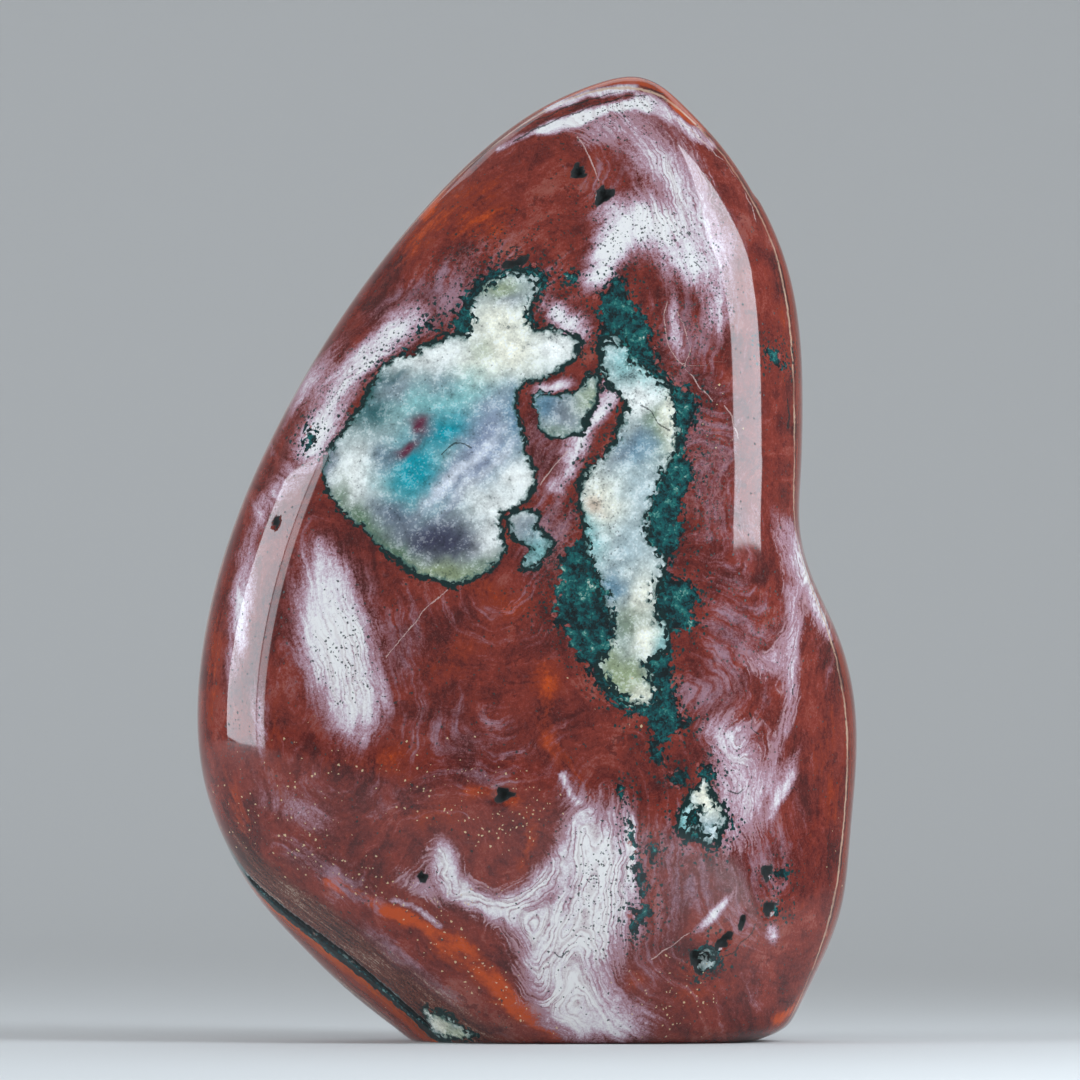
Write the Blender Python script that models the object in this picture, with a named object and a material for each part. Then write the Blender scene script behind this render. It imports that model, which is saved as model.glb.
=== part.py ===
"""A polished ocean jasper freeform: one stone, a lopsided teardrop that stands on a small flat foot.

The broad face looks along -Y and the stone stands on z = 0. Heights are measured from the foot.
The body is a loft of level sections. Four edge curves say how far each section reaches to the left,
right, front and back, and the flats ground across two corners are clipped from the sections.
The open seam across the lower left and the small open pits of the face are cut from it afterwards.
"""

import math

import bmesh
import bpy
import numpy as np
from mathutils import Matrix, Vector

MM = 0.001
HEIGHT = 180 * MM

# Edge curves, as height and reach in millimetres. X runs left to right across the face.
LEFT_EDGE = [
    (0, -21.4), (2.7, -25.6), (9.3, -34.2), (18, -43.2), (26.3, -50.4), (36, -55.9), (47, -60.0),
    (60, -61.6), (74, -60.5), (88, -57.4), (103, -52.1), (118, -44.9), (133, -36.1), (148, -25.3),
    (159, -15.8), (168.5, -5.6), (175, 4.2), (178.8, 13.2), (180, 19.4),
]
RIGHT_EDGE = [
    (0, 41.0), (0.6, 43.6), (2.4, 47.6), (6.2, 50.4), (13.6, 54.2), (24.8, 58.6), (40, 60.5),
    (55, 61.6), (66, 60.8), (77, 57.5), (86, 53.3), (95, 50.8), (105, 50.9), (118, 51.3), (132, 50.8),
    (144, 48.7), (156, 43.8), (166, 37.3), (174, 30.0), (178.4, 24.8), (180, 19.4),
]
FRONT_EDGE = [
    (0, -18.8), (0.6, -20.6), (2.4, -22.2), (8, -24.4), (18, -26.5), (34, -28.3), (54, -29.0),
    (76, -28.6), (98, -26.9), (120, -24.05), (140, -20.3), (156, -15.9), (168, -11.3), (176, -6.4),
    (180, 0),
]
BACK_EDGE = [
    (0, 17.2), (0.6, 18.8), (2.4, 20.4), (8, 22.4), (18, 24.8), (34, 27.5), (54, 29.0), (76, 28.4),
    (98, 26.0), (120, 22.6), (140, 18.4), (156, 14.0), (168, 9.8), (176, 5.8), (180, 0),
]

# How square each half of a section is: 2 is an ellipse, and more has a flatter middle and tighter shoulders.
FRONT_SQUARENESS = 2.55
BACK_SQUARENESS = 2.25

# Below the waist the right side flares out past the body's own reach. The flare starts this far out and
# leans back as it goes.
BODY_REACH = 50.4 * MM
FLARE_START = 42.0 * MM
FLARE_LEAN = 0.8

# Flats ground across corners of the body: a point on the flat in mm, the way it faces, and how softly it
# runs into the body, in mm. The first undercuts the lower left, and the second eases the upper back.
FLATS = [
    ((-41.9, -2.0, 18.1), (-0.60, -0.47, -0.645), 4.0),
    ((30.0, 19.5, 128.0), (0.42, 0.86, 0.29), 9.0),
]

RINGS = 56
RING_POINTS = 74

# Open pits in the face: x and z in mm, width, height and depth in mm, and the turn of the pit in degrees.
PITS = [
    (14.1, 157.0, 3.2, 2.4, 1.5, 35),
    (9.2, 161.1, 2.2, 2.4, 1.3, 0),
    (-2.1, 144.1, 4.6, 1.2, 1.0, 12),
    (-46.5, 95.8, 1.3, 1.9, 0.8, 0),
    (-4.6, 45.9, 2.8, 2.4, 1.2, 20),
    (-19.2, 30.5, 1.9, 1.4, 0.9, -20),
    (31.7, 15.4, 3.2, 3.4, 1.4, -20),
    (36.0, 18.9, 4.0, 1.4, 1.2, 40),
    (39.6, 22.4, 1.2, 2.6, 1.0, -25),
    (43.9, 31.7, 1.8, 2.6, 1.0, 0),
    (44.3, 24.9, 2.0, 2.4, 1.0, 0),
]
PIT_ROUNDNESS = 2

# The open seam between two layers, which runs down the ground flat of the lower left: x and z in mm.
SEAM = [
    (-51.6, 30.4), (-49.1, 28.0), (-43.8, 23.6), (-38.5, 19.7), (-33.6, 15.8), (-27.9, 11.0), (-22.5, 6.8),
    (-18.6, 3.2),
]
SEAM_WIDTH = 1.3 * MM
SEAM_DEPTH = 0.9 * MM
SEAM_ABOVE = 0.8 * MM
SEAM_END_WIDTH = 0.35

FAR_IN_FRONT = 900 * MM

STONE_RED = (0.27, 0.062, 0.042, 1)


def clear_scene():
    for thing in list(bpy.data.objects):
        bpy.data.objects.remove(thing)


def natural_spline(knots, values):
    """A function through the values. Its slope and curvature never jump, so the polish shows no line."""
    gaps = np.diff(knots)
    slopes = np.diff(values) / gaps
    system = np.diag(np.r_[1.0, 2 * (gaps[:-1] + gaps[1:]), 1.0])
    for i, gap in enumerate(gaps[:-1]):
        system[i + 1, i] = gap
        system[i + 1, i + 2] = gaps[i + 1]
    bends = np.linalg.solve(system, np.r_[0.0, 6 * np.diff(slopes), 0.0])

    def at(place):
        i = np.clip(np.searchsorted(knots, place) - 1, 0, len(gaps) - 1)
        after = place - knots[i]
        before = knots[i + 1] - place
        cubic = (bends[i] * before**3 + bends[i + 1] * after**3) / (6 * gaps[i])
        from_left = (values[i] / gaps[i] - bends[i] * gaps[i] / 6) * before
        from_right = (values[i + 1] / gaps[i] - bends[i + 1] * gaps[i] / 6) * after
        return cubic + from_left + from_right

    return at


def station(height):
    """Where a height falls from 0 at the foot to 1 at the peak. Stations crowd together at both ends."""
    return np.arccos(1 - 2 * np.clip(height / HEIGHT, 0, 1)) / math.pi


def height_at(place):
    return HEIGHT * (1 - np.cos(math.pi * place)) / 2


def edge(points):
    heights, reach = np.array(points, float).T * MM
    return natural_spline(station(heights), reach)


def eased_flat(beyond, softness):
    """How far a point beyond a flat, or just inside it, is taken back, so that the flat runs in softly."""
    inside = -beyond
    overlap = np.clip(softness - np.abs(inside), 0, None)
    return np.maximum(beyond, 0) + overlap**2 / (4 * softness)


def section(place, left, right, front, back):
    """One level section of the stone as RING_POINTS points, before the pits are cut."""
    turn = np.linspace(0, 2 * math.pi, RING_POINTS, endpoint=False)
    across, deep = np.cos(turn), np.sin(turn)
    squareness = np.where(deep < 0, FRONT_SQUARENESS, BACK_SQUARENESS)
    swell = (np.abs(across) ** squareness + np.abs(deep) ** squareness) ** (-1 / squareness)
    body = min(right(place), BODY_REACH)
    half_width = (body - left(place)) / 2
    middle = (body + left(place)) / 2
    reach = np.where(deep < 0, -front(place), back(place))
    points = np.empty((RING_POINTS, 3))
    points[:, 0] = middle + half_width * across * swell
    points[:, 1] = reach * deep * swell
    points[:, 2] = height_at(place)
    share = np.clip((points[:, 0] - FLARE_START) / max(body - FLARE_START, 1 * MM), 0, 1)
    flare = (right(place) - body) * share**2 * (3 - 2 * share)
    points[:, 0] += flare
    points[:, 1] += FLARE_LEAN * flare
    return clipped(points)


def clipped(points):
    """The section with the ground flats taken off. Points move level, so that a section stays level."""
    for on_flat, facing, softness in FLATS:
        normal = np.array(Vector(facing).normalized())
        beyond = (points - np.array(on_flat) * MM) @ normal
        level = normal * (1, 1, 0)
        points = points - np.outer(eased_flat(beyond, softness * MM), level / (level @ level))
    return points


def build_body():
    """The loft: quads between sections, one flat face for the foot and a fan at the peak."""
    edges = [edge(points) for points in (LEFT_EDGE, RIGHT_EDGE, FRONT_EDGE, BACK_EDGE)]
    mesh = bmesh.new()
    rings = []
    for i in range(RINGS):
        points = section(i / RINGS, *edges)
        rings.append([mesh.verts.new(point) for point in points])
    for low, high in zip(rings, rings[1:]):
        for i in range(RING_POINTS):
            after = (i + 1) % RING_POINTS
            mesh.faces.new((low[i], low[after], high[after], high[i]))
    foot = mesh.faces.new(list(reversed(rings[0])))
    peak = mesh.verts.new((edges[0](1.0), 0, HEIGHT))
    for i in range(RING_POINTS):
        mesh.faces.new((rings[-1][i], rings[-1][(i + 1) % RING_POINTS], peak))
    for face in mesh.faces:
        face.smooth = face is not foot
    body = bpy.data.meshes.new("stone")
    mesh.to_mesh(body)
    mesh.free()
    stone = bpy.data.objects.new("stone", body)
    bpy.context.collection.objects.link(stone)
    return stone


def face_point(stone, x, z):
    """The point of the broad face that shows at x and z, in mm, in a straight view, and the way it faces."""
    start = Vector((x * MM, -FAR_IN_FRONT, z * MM))
    _, place, normal, _ = stone.ray_cast(start, Vector((0, 1, 0)))
    return place, normal


def add_pit(shape, stone, x, z, width, height, depth, turn):
    """A squashed ball, centred on the face, whose inner half is the pit."""
    place, normal = face_point(stone, x, z)
    stand = normal.to_track_quat("Z", "Y").to_matrix().to_4x4()
    spin = Matrix.Rotation(math.radians(turn), 4, "Z")
    size = Matrix.Diagonal((width * MM / 2, height * MM / 2, depth * MM, 1))
    lie = Matrix.Translation(place) @ stand @ spin @ size
    bmesh.ops.create_icosphere(shape, subdivisions=PIT_ROUNDNESS, radius=1.0, matrix=lie)


def add_seam(shape, stone):
    """A narrow keel along the seam, thinned to nothing much at both ends."""
    route = [face_point(stone, x, z) for x, z in SEAM]
    last = len(route) - 1
    sections = []
    for i, (place, normal) in enumerate(route):
        along = (route[min(i + 1, last)][0] - route[max(i - 1, 0)][0]).normalized()
        side = normal.cross(along).normalized()
        share = SEAM_END_WIDTH if i in (0, last) else 1.0
        half = side * SEAM_WIDTH / 2 * share
        keel = place - normal * SEAM_DEPTH * share
        corners = (place + half, keel, place - half, place + normal * SEAM_ABOVE)
        sections.append([shape.verts.new(corner) for corner in corners])
    for near, far in zip(sections, sections[1:]):
        for i in range(4):
            shape.faces.new((near[i], near[(i + 1) % 4], far[(i + 1) % 4], far[i]))
    shape.faces.new(list(reversed(sections[0])))
    shape.faces.new(sections[-1])


def cutter_object(stone):
    """The seam and the pits as one cutter. None of them touches another."""
    shape = bmesh.new()
    add_seam(shape, stone)
    bmesh.ops.recalc_face_normals(shape, faces=shape.faces)
    for pit in PITS:
        add_pit(shape, stone, *pit)
    mesh = bpy.data.meshes.new("cutter")
    shape.to_mesh(mesh)
    shape.free()
    cutter = bpy.data.objects.new("cutter", mesh)
    bpy.context.collection.objects.link(cutter)
    return cutter


def cut_away(stone, cutter):
    """Takes the cutter from the stone for good, and leaves no cutter behind."""
    cut = stone.modifiers.new("cut", "BOOLEAN")
    cut.operation = "DIFFERENCE"
    cut.solver = "EXACT"
    cut.object = cutter
    bpy.context.view_layer.update()
    evaluated = stone.evaluated_get(bpy.context.evaluated_depsgraph_get())
    carved = bpy.data.meshes.new_from_object(evaluated)
    stone.modifiers.clear()
    stone.data = carved
    bpy.data.objects.remove(cutter)


def polished_stone():
    material = bpy.data.materials.new("polished_jasper")
    material.use_nodes = True
    shader = material.node_tree.nodes["Principled BSDF"]
    shader.inputs["Base Color"].default_value = STONE_RED
    shader.inputs["Roughness"].default_value = 0.08
    shader.inputs["Metallic"].default_value = 0.0
    return material


def main():
    clear_scene()
    stone = build_body()
    stone.data.materials.append(polished_stone())
    bpy.context.view_layer.update()
    cut_away(stone, cutter_object(stone))


main()
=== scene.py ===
import math

import bpy
import numpy as np
from mathutils import Matrix, Vector, noise


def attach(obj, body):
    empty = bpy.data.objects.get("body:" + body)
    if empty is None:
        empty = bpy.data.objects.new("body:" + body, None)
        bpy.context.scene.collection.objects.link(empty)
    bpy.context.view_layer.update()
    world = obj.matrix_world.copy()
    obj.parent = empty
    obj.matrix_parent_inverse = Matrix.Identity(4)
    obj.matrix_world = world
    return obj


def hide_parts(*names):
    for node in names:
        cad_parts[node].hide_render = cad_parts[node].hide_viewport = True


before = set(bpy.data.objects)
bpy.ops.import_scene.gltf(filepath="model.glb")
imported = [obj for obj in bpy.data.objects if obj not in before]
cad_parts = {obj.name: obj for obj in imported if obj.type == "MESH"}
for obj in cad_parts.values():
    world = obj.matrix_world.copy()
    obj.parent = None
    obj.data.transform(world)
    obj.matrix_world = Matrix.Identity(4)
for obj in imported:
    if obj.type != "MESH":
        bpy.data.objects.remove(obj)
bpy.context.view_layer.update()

MM = 0.001

# The picture: a long lens, held low and almost level, that looks straight at the broad face.
PICTURE_SIDE = 1080
PIXELS_PER_MM = 5.36
CAMERA_DISTANCE = 1500.0
CAMERA_HEIGHT = 42.0
CAMERA_SIDE = 2.24
AIM_HEIGHT = 93.35
SENSOR = 36.0


# The form of the stone, in millimetres.

HEIGHT = 180.0

# Edge curves of the level sections, as height and reach.
LEFT_EDGE = [
    (0, -21.4), (2.7, -25.6), (9.3, -34.2), (18, -43.2), (26.3, -50.4), (36, -55.9), (47, -60.0),
    (60, -61.6), (74, -60.5), (88, -57.4), (103, -52.1), (118, -44.9), (133, -36.1), (148, -25.3),
    (159, -15.8), (168.5, -5.6), (175, 4.2), (178.8, 13.2), (180, 19.4),
]
RIGHT_EDGE = [
    (0, 41.0), (0.6, 43.6), (2.4, 47.6), (6.2, 50.4), (13.6, 54.2), (24.8, 58.6), (40, 60.5), (55, 61.6),
    (66, 60.8), (77, 57.5), (86, 53.3), (95, 50.8), (105, 50.9), (118, 51.3), (132, 50.8), (144, 48.7),
    (156, 43.8), (166, 37.3), (174, 30.0), (178.4, 24.8), (180, 19.4),
]
FRONT_EDGE = [
    (0, -18.8), (0.6, -20.6), (2.4, -22.2), (8, -24.4), (18, -26.5), (34, -28.3), (54, -29.0),
    (76, -28.6), (98, -26.9), (120, -24.05), (140, -20.3), (156, -15.9), (168, -11.3), (176, -6.4),
    (180, 0),
]
BACK_EDGE = [
    (0, 17.2), (0.6, 18.8), (2.4, 20.4), (8, 22.4), (18, 24.8), (34, 27.5), (54, 29.0), (76, 28.4),
    (98, 26.0), (120, 22.6), (140, 18.4), (156, 14.0), (168, 9.8), (176, 5.8), (180, 0),
]
FRONT_SQUARENESS = 2.55
BACK_SQUARENESS = 2.25
# Below the waist the right side flares out past the body, from FLARE_START on, and leans back as it does.
BODY_REACH = 49.4
WAIST_ROUNDING = 1.2
SHOULDER_ROUNDING = 3.6
ROUNDING_GROWS = (108, 142)
FLARE_START = 42.0
FLARE_LEAN = 0.8

# Flats ground across corners: a point on the flat, the way it faces, and how softly it runs into the body.
FLATS = [
    ((-41.9, -2.0, 18.1), (-0.60, -0.47, -0.645), 4.0),
    ((30.0, 19.5, 128.0), (0.42, 0.86, 0.29), 9.0),
]

# The mesh is finest on the broad face, where the pattern is seen closely.
ROWS = 292
FACE_COLUMNS = 256
BACK_COLUMNS = 82
ROW_STEP_CAP = 0.55

# Open pits: x and z, width, height and depth, and the turn of the pit in degrees.
PITS = [
    (14.1, 157.0, 3.2, 2.4, 1.5, 35),
    (9.2, 161.1, 2.2, 2.4, 1.3, 0),
    (-2.1, 144.1, 4.6, 1.2, 1.0, 12),
    (-46.5, 95.8, 1.3, 1.9, 0.8, 0),
    (-4.6, 45.9, 2.8, 2.4, 1.2, 20),
    (-19.2, 30.5, 1.9, 1.4, 0.9, -20),
    (31.7, 15.4, 3.2, 3.4, 1.4, -20),
    (36.0, 18.9, 4.0, 1.4, 1.2, 40),
    (39.6, 22.4, 1.2, 2.6, 1.0, -25),
    (43.9, 31.7, 1.8, 2.6, 1.0, 0),
    (44.3, 24.9, 2.0, 2.4, 1.0, 0),
]

# The open seam between two layers on the lower left: x and z.
SEAM = [
    (-51.6, 30.4), (-49.1, 28.0), (-43.8, 23.6), (-38.5, 19.7), (-33.6, 15.8), (-27.9, 11.0), (-22.5, 6.8),
    (-18.6, 3.2),
]
SEAM_WIDTH = 1.3
SEAM_DEPTH = 0.9


def natural_spline(knots, values):
    gaps = np.diff(knots)
    slopes = np.diff(values) / gaps
    system = np.diag(np.r_[1.0, 2 * (gaps[:-1] + gaps[1:]), 1.0])
    for i, gap in enumerate(gaps[:-1]):
        system[i + 1, i] = gap
        system[i + 1, i + 2] = gaps[i + 1]
    bends = np.linalg.solve(system, np.r_[0.0, 6 * np.diff(slopes), 0.0])

    def at(place):
        i = np.clip(np.searchsorted(knots, place) - 1, 0, len(gaps) - 1)
        after = place - knots[i]
        before = knots[i + 1] - place
        cubic = (bends[i] * before**3 + bends[i + 1] * after**3) / (6 * gaps[i])
        from_left = (values[i] / gaps[i] - bends[i] * gaps[i] / 6) * before
        from_right = (values[i + 1] / gaps[i] - bends[i + 1] * gaps[i] / 6) * after
        return cubic + from_left + from_right

    return at


def station(height):
    """Where a height falls from 0 at the foot to 1 at the peak, crowded at both ends."""
    return np.arccos(1 - 2 * np.clip(height / HEIGHT, 0, 1)) / math.pi


def reach(curve, heights):
    knots, values = np.array(curve, float).T
    return natural_spline(station(knots), values)(station(heights))[:, None]


def row_heights():
    """Level rows: close together at the foot and the peak, and evenly spaced between them."""
    steps = np.minimum(np.sin(np.linspace(0, math.pi, ROWS + 2)[1:-1]), ROW_STEP_CAP)
    return HEIGHT * np.r_[0, np.cumsum(steps)[:-1]] / steps.sum()


def column_turns():
    face = np.linspace(math.pi, 2 * math.pi, FACE_COLUMNS, endpoint=False)
    back = np.linspace(0, math.pi, BACK_COLUMNS, endpoint=False)
    return np.r_[face, back]


def grind_flats(points):
    for on_flat, facing, softness in FLATS:
        normal = np.array(Vector(facing).normalized())
        beyond = (points - np.array(on_flat)) @ normal
        overlap = np.clip(softness - np.abs(beyond), 0, None)
        excess = np.maximum(beyond, 0) + overlap**2 / (4 * softness)
        level = normal * (1, 1, 0)
        points = points - excess[..., None] * level / (level @ level)
    return points


def stone_grid():
    """The stone's surface as rows of points, ROWS by the number of columns by 3."""
    heights = row_heights()
    turn = column_turns()
    across, deep = np.cos(turn), np.sin(turn)
    squareness = np.where(deep < 0, FRONT_SQUARENESS, BACK_SQUARENESS)
    swell = (np.abs(across) ** squareness + np.abs(deep) ** squareness) ** (-1 / squareness)
    left, right, front, back = (reach(c, heights) for c in (LEFT_EDGE, RIGHT_EDGE, FRONT_EDGE, BACK_EDGE))
    over = right - BODY_REACH
    rounding = np.interp(heights, ROUNDING_GROWS, (WAIST_ROUNDING, SHOULDER_ROUNDING))[:, None]
    body = right - (over + np.hypot(over, rounding)) / 2
    x = (body + left) / 2 + (body - left) / 2 * across * swell
    y = np.where(deep < 0, -front, back) * deep * swell
    z = np.broadcast_to(heights[:, None], x.shape)
    share = np.clip((x - FLARE_START) / np.maximum(body - FLARE_START, 1), 0, 1)
    flare = (right - body) * share**2 * (3 - 2 * share)
    return grind_flats(np.stack((x + flare, y + FLARE_LEAN * flare, z), axis=2))


def grid_normals(grid):
    along = np.roll(grid, -1, 1) - np.roll(grid, 1, 1)
    upward = np.gradient(grid, axis=0)
    normals = np.cross(along, upward)
    return normals / np.maximum(np.linalg.norm(normals, axis=2, keepdims=True), 1e-9)


def line_distance(points, route):
    """Distance from points to a line of straight runs, in the units of both."""
    nearest = np.full(points.shape[:-1], 1e9)
    for start, end in zip(route, route[1:]):
        run = end - start
        share = np.clip((points - start) @ run / (run @ run), 0, 1)
        nearest = np.minimum(nearest, np.linalg.norm(points - start - share[..., None] * run, axis=-1))
    return nearest


def on_face(grid, x, z):
    """The row and column of the face point nearest to x and z in a straight view."""
    face = grid[:, :FACE_COLUMNS]
    gap = np.hypot(face[..., 0] - x, face[..., 2] - z)
    return np.unravel_index(np.argmin(gap), gap.shape)


def hollow_out(grid):
    """Sinks the pits and the seam. Returns the new surface and a painted shade for them: 1 inside the pits and down
    the seam groove, fading out a little past the pits' rims.
    """
    normals = grid_normals(grid)
    sunk = np.zeros(grid.shape[:2])
    shade = np.zeros(grid.shape[:2])
    for x, z, width, height, depth, turn in PITS:
        at = on_face(grid, x, z)
        normal = normals[at]
        side = np.cross((0, 0, 1), normal)
        side /= np.linalg.norm(side)
        offset = grid - grid[at]
        near = np.linalg.norm(offset, axis=2) < 2 * max(width, height)
        right, up = offset @ side, offset @ np.cross(normal, side)
        c, s = math.cos(math.radians(turn)), math.sin(math.radians(turn))
        ragged = 1 + 0.22 * np.sin(3 * np.arctan2(up, right) + x) + 0.12 * np.sin(5 * np.arctan2(up, right) + z)
        out = np.hypot((c * right + s * up) / (width / 2), (c * up - s * right) / (height / 2)) / ragged
        bowl = np.where(near, np.clip(1 - out**2, 0, 1) ** 0.6, 0)
        sunk = np.maximum(sunk, depth * bowl)
        # Painted shade: dark through the pits and a little past their rims.
        shade = np.maximum(shade, np.where(near, np.clip((1.3 - out) / 0.25, 0, 1), 0))
    route = [grid[on_face(grid, x, z)] for x, z in SEAM]
    apart = line_distance(grid, route)
    groove = np.clip(1 - (apart / (SEAM_WIDTH / 2)) ** 2, 0, 1)
    sunk = np.maximum(sunk, SEAM_DEPTH * groove)
    # Painted shade along the seam groove.
    shade = np.maximum(shade, np.clip(1.8 * groove, 0, 1))
    return grid - normals * sunk[..., None], shade


def photo_place(points):
    """Where points show in the picture, as pixels right and down."""
    tilt = math.atan2(AIM_HEIGHT - CAMERA_HEIGHT, CAMERA_DISTANCE)
    focal = PIXELS_PER_MM * math.hypot(CAMERA_DISTANCE, AIM_HEIGHT - CAMERA_HEIGHT)
    offset = points - np.array((CAMERA_SIDE, -CAMERA_DISTANCE, CAMERA_HEIGHT))
    depth = offset @ np.array((0, math.cos(tilt), math.sin(tilt)))
    rise = offset @ np.array((0, -math.sin(tilt), math.cos(tilt)))
    half = PICTURE_SIDE / 2
    return np.stack((half + focal * offset[..., 0] / depth, half - focal * rise / depth), axis=-1)


# The marks of the face, by pixel in the picture. Outlines are closed and are rounded between their points.

BIG_HOLLOW = [
    (469, 333), (473, 308), (485, 288), (504, 275), (522, 274), (538, 281), (533, 298), (528, 311), (534, 331),
    (549, 327), (566, 331), (578, 343), (571, 361), (556, 372), (541, 380), (521, 384), (516, 405), (523, 430),
    (526, 454), (536, 475), (530, 495), (518, 508), (500, 515), (502, 535), (503, 553), (485, 572), (462, 583),
    (442, 581), (414, 572), (395, 560), (372, 539), (355, 523), (339, 508), (327, 487), (324, 468), (334, 442),
    (354, 419), (369, 391), (381, 369), (396, 358), (414, 355), (426, 345), (452, 336),
]
BLUE_BLOB = [
    (534, 394), (546, 391), (566, 395), (580, 388), (588, 376), (600, 377), (597, 396), (586, 418), (579, 434),
    (557, 438), (542, 430), (535, 411),
]
CURL = [
    (509, 518), (524, 509), (537, 514), (537, 530), (551, 542), (542, 560), (526, 570), (521, 562), (532, 549),
    (521, 541), (512, 533),
]
RIGHT_HOLLOW = [
    (600, 352), (615, 338), (630, 356), (649, 374), (668, 388), (675, 410), (677, 434), (672, 458), (661, 472),
    (655, 494), (647, 519), (650, 543), (666, 560), (657, 580), (654, 602), (657, 618), (667, 630), (664, 650),
    (646, 660), (648, 677), (655, 689), (652, 704), (640, 703), (621, 695), (604, 676), (599, 663), (610, 646),
    (611, 626), (609, 602), (601, 581), (591, 560), (587, 536), (584, 519), (579, 498), (588, 470), (610, 447),
    (622, 422), (624, 398), (608, 385),
]
SMALL_HOLLOW = [
    (697, 786), (704, 779), (710, 795), (724, 812), (727, 824), (718, 832), (716, 842), (704, 840), (699, 826),
    (700, 806), (692, 815), (690, 830), (682, 836), (679, 822), (687, 800),
]
TINY_HOLLOW = [(700, 956), (713, 953), (716, 962), (706, 972), (697, 968)]
SEAM_CRYSTAL = [(424, 1008), (438, 1014), (456, 1022), (476, 1036), (452, 1039), (434, 1036), (428, 1024)]
HOLLOWS = [BIG_HOLLOW, BLUE_BLOB, CURL, RIGHT_HOLLOW, SMALL_HOLLOW, TINY_HOLLOW, SEAM_CRYSTAL]

MOSS = [
    # round the right hollow
    [
        (596, 352), (599, 328), (598, 303), (606, 286), (621, 276), (634, 302), (646, 320), (652, 341), (658, 364),
        (673, 380), (691, 389), (698, 406), (693, 426), (684, 445), (689, 463), (691, 484), (682, 508), (682, 540),
        (671, 558), (669, 574), (684, 579), (699, 592), (693, 611), (692, 629), (674, 633), (671, 660), (675, 690),
        (682, 712), (693, 724), (680, 733), (666, 742), (657, 738), (648, 728), (636, 716), (618, 708), (603, 692),
        (588, 672), (573, 650), (562, 629), (552, 607), (557, 586), (561, 558), (574, 545), (582, 530), (577, 500),
        (586, 468), (611, 445), (620, 421), (619, 398), (602, 383),
    ],
    # the thick rim round the top lobe of the big hollow
    [
        (452, 331), (459, 304), (471, 286), (486, 272), (504, 266), (526, 265), (541, 269), (549, 279), (545, 293),
        (534, 303), (536, 331), (500, 345), (468, 341),
    ],
    # the top left rim of the big hollow
    [(367, 398), (379, 370), (392, 356), (406, 352), (404, 362), (388, 378), (378, 402), (366, 420), (352, 424)],
    # a strip above it, and the spots by the left rim
    [(417, 331), (428, 322), (440, 324), (434, 331)],
    [(303, 434), (309, 425), (316, 432), (314, 444), (306, 448)],
    [(558, 276), (570, 271), (578, 277), (568, 284)],
    # the chain below the right hollow
    [(650, 742), (658, 745), (663, 757), (667, 765), (659, 766), (651, 755)],
    [(670, 771), (681, 769), (689, 779), (684, 787), (675, 783)],
    # round the small hollow
    [
        (700, 770), (714, 766), (713, 780), (711, 793), (727, 811), (731, 827), (722, 830), (722, 843), (710, 849),
        (697, 845), (684, 842), (676, 831), (679, 812), (687, 796),
    ],
    # the seam down the lower middle, with its two blobs
    [(620, 790), (626, 800), (632, 830), (638, 862), (646, 884), (643, 897), (638, 888), (633, 865), (628, 836)],
    [(634, 906), (646, 904), (656, 913), (643, 922), (641, 932), (634, 937), (632, 920)],
    [(648, 846), (659, 839), (660, 852), (652, 862), (647, 857)],
    # small ones on the right
    [(766, 347), (776, 350), (784, 358), (786, 368), (776, 364), (766, 357)],
    [(768, 871), (779, 872), (789, 869), (787, 876), (775, 879)],
    [(768, 907), (780, 907), (776, 917)],
    [(695, 966), (698, 950), (711, 944), (722, 951), (717, 966), (707, 974), (699, 973)],
]

# Soft spots: middle, half length, half width, the turn of the length below level in degrees, and strength.
BLEACHED_AND_SHEEN = [
    (566, 338, 20, 10, 10, 0.7), (660, 160, 46, 26, 36, 0.55), (690, 200, 50, 20, 56, 0.65),
    (650, 224, 50, 26, 6, 1.0), (612, 250, 34, 18, -52, 1.0), (690, 258, 32, 26, 30, 0.85),
    (716, 306, 18, 38, -6, 0.5), (566, 318, 26, 12, 24, 0.9), (610, 128, 36, 16, -14, 0.45),
    (600, 276, 20, 12, -40, 0.8), (538, 400, 14, 24, 10, 0.15), (312, 380, 54, 12, -58, 0.5),
    (338, 634, 36, 64, 170, 1.0), (322, 580, 20, 44, 166, 0.55), (326, 650, 22, 50, 172, 0.5),
    (356, 704, 28, 40, 0, 0.8), (396, 330, 20, 9, -38, 0.6), (362, 362, 22, 10, -45, 0.6),
    (334, 398, 22, 9, -55, 0.6), (318, 430, 16, 10, -50, 0.6), (556, 384, 18, 6, -18, 0.75),
    (600, 884, 32, 70, 0, 1.1), (570, 936, 44, 40, 0, 1.0), (580, 1004, 38, 32, 60, 1.0),
    (546, 962, 48, 20, 62, 0.8), (518, 914, 44, 16, 14, 0.7), (566, 866, 30, 18, -44, 0.6),
    (584, 834, 13, 26, 0, 0.7), (444, 860, 14, 26, -16, 0.75), (466, 896, 36, 12, 38, 0.7),
    (600, 1026, 34, 14, 10, 0.8), (628, 852, 6, 50, -6, 1.1), (420, 884, 30, 12, 30, 0.4),
    (742, 780, 32, 54, -8, 0.62), (722, 738, 26, 20, 20, 0.5), (730, 830, 20, 28, 0, 0.4),
    # Some spots below are painted light: (806, 570) and (828, 616) at the right rim are partly white streaks and
    # partly painted sheen; (300, 470), (240, 610), (262, 720) and (268, 500), under the left soft box's mirror
    # image, are partly white stone and partly painted highlight; (300, 812) is painted sheen.
    (782, 790, 5, 40, 24, 0.7), (806, 570, 16, 56, -30, 0.82), (828, 616, 10, 36, -28, 0.72),
    (788, 650, 13, 44, 6, 0.36), (770, 668, 24, 16, 0, 0.36), (716, 914, 26, 6, -46, 0.9),
    (772, 936, 7, 11, 0, 0.6), (300, 470, 16, 50, 38, 0.3), (677, 334, 8, 38, -8, 0.55),
    (300, 812, 46, 22, 30, 0.3), (640, 1020, 34, 18, 10, 0.3), (568, 790, 20, 40, -25, 0.2),
    (240, 610, 12, 76, 8, 0.62), (262, 720, 12, 50, -4, 0.35), (268, 500, 12, 40, 24, 0.3),
]
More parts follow.
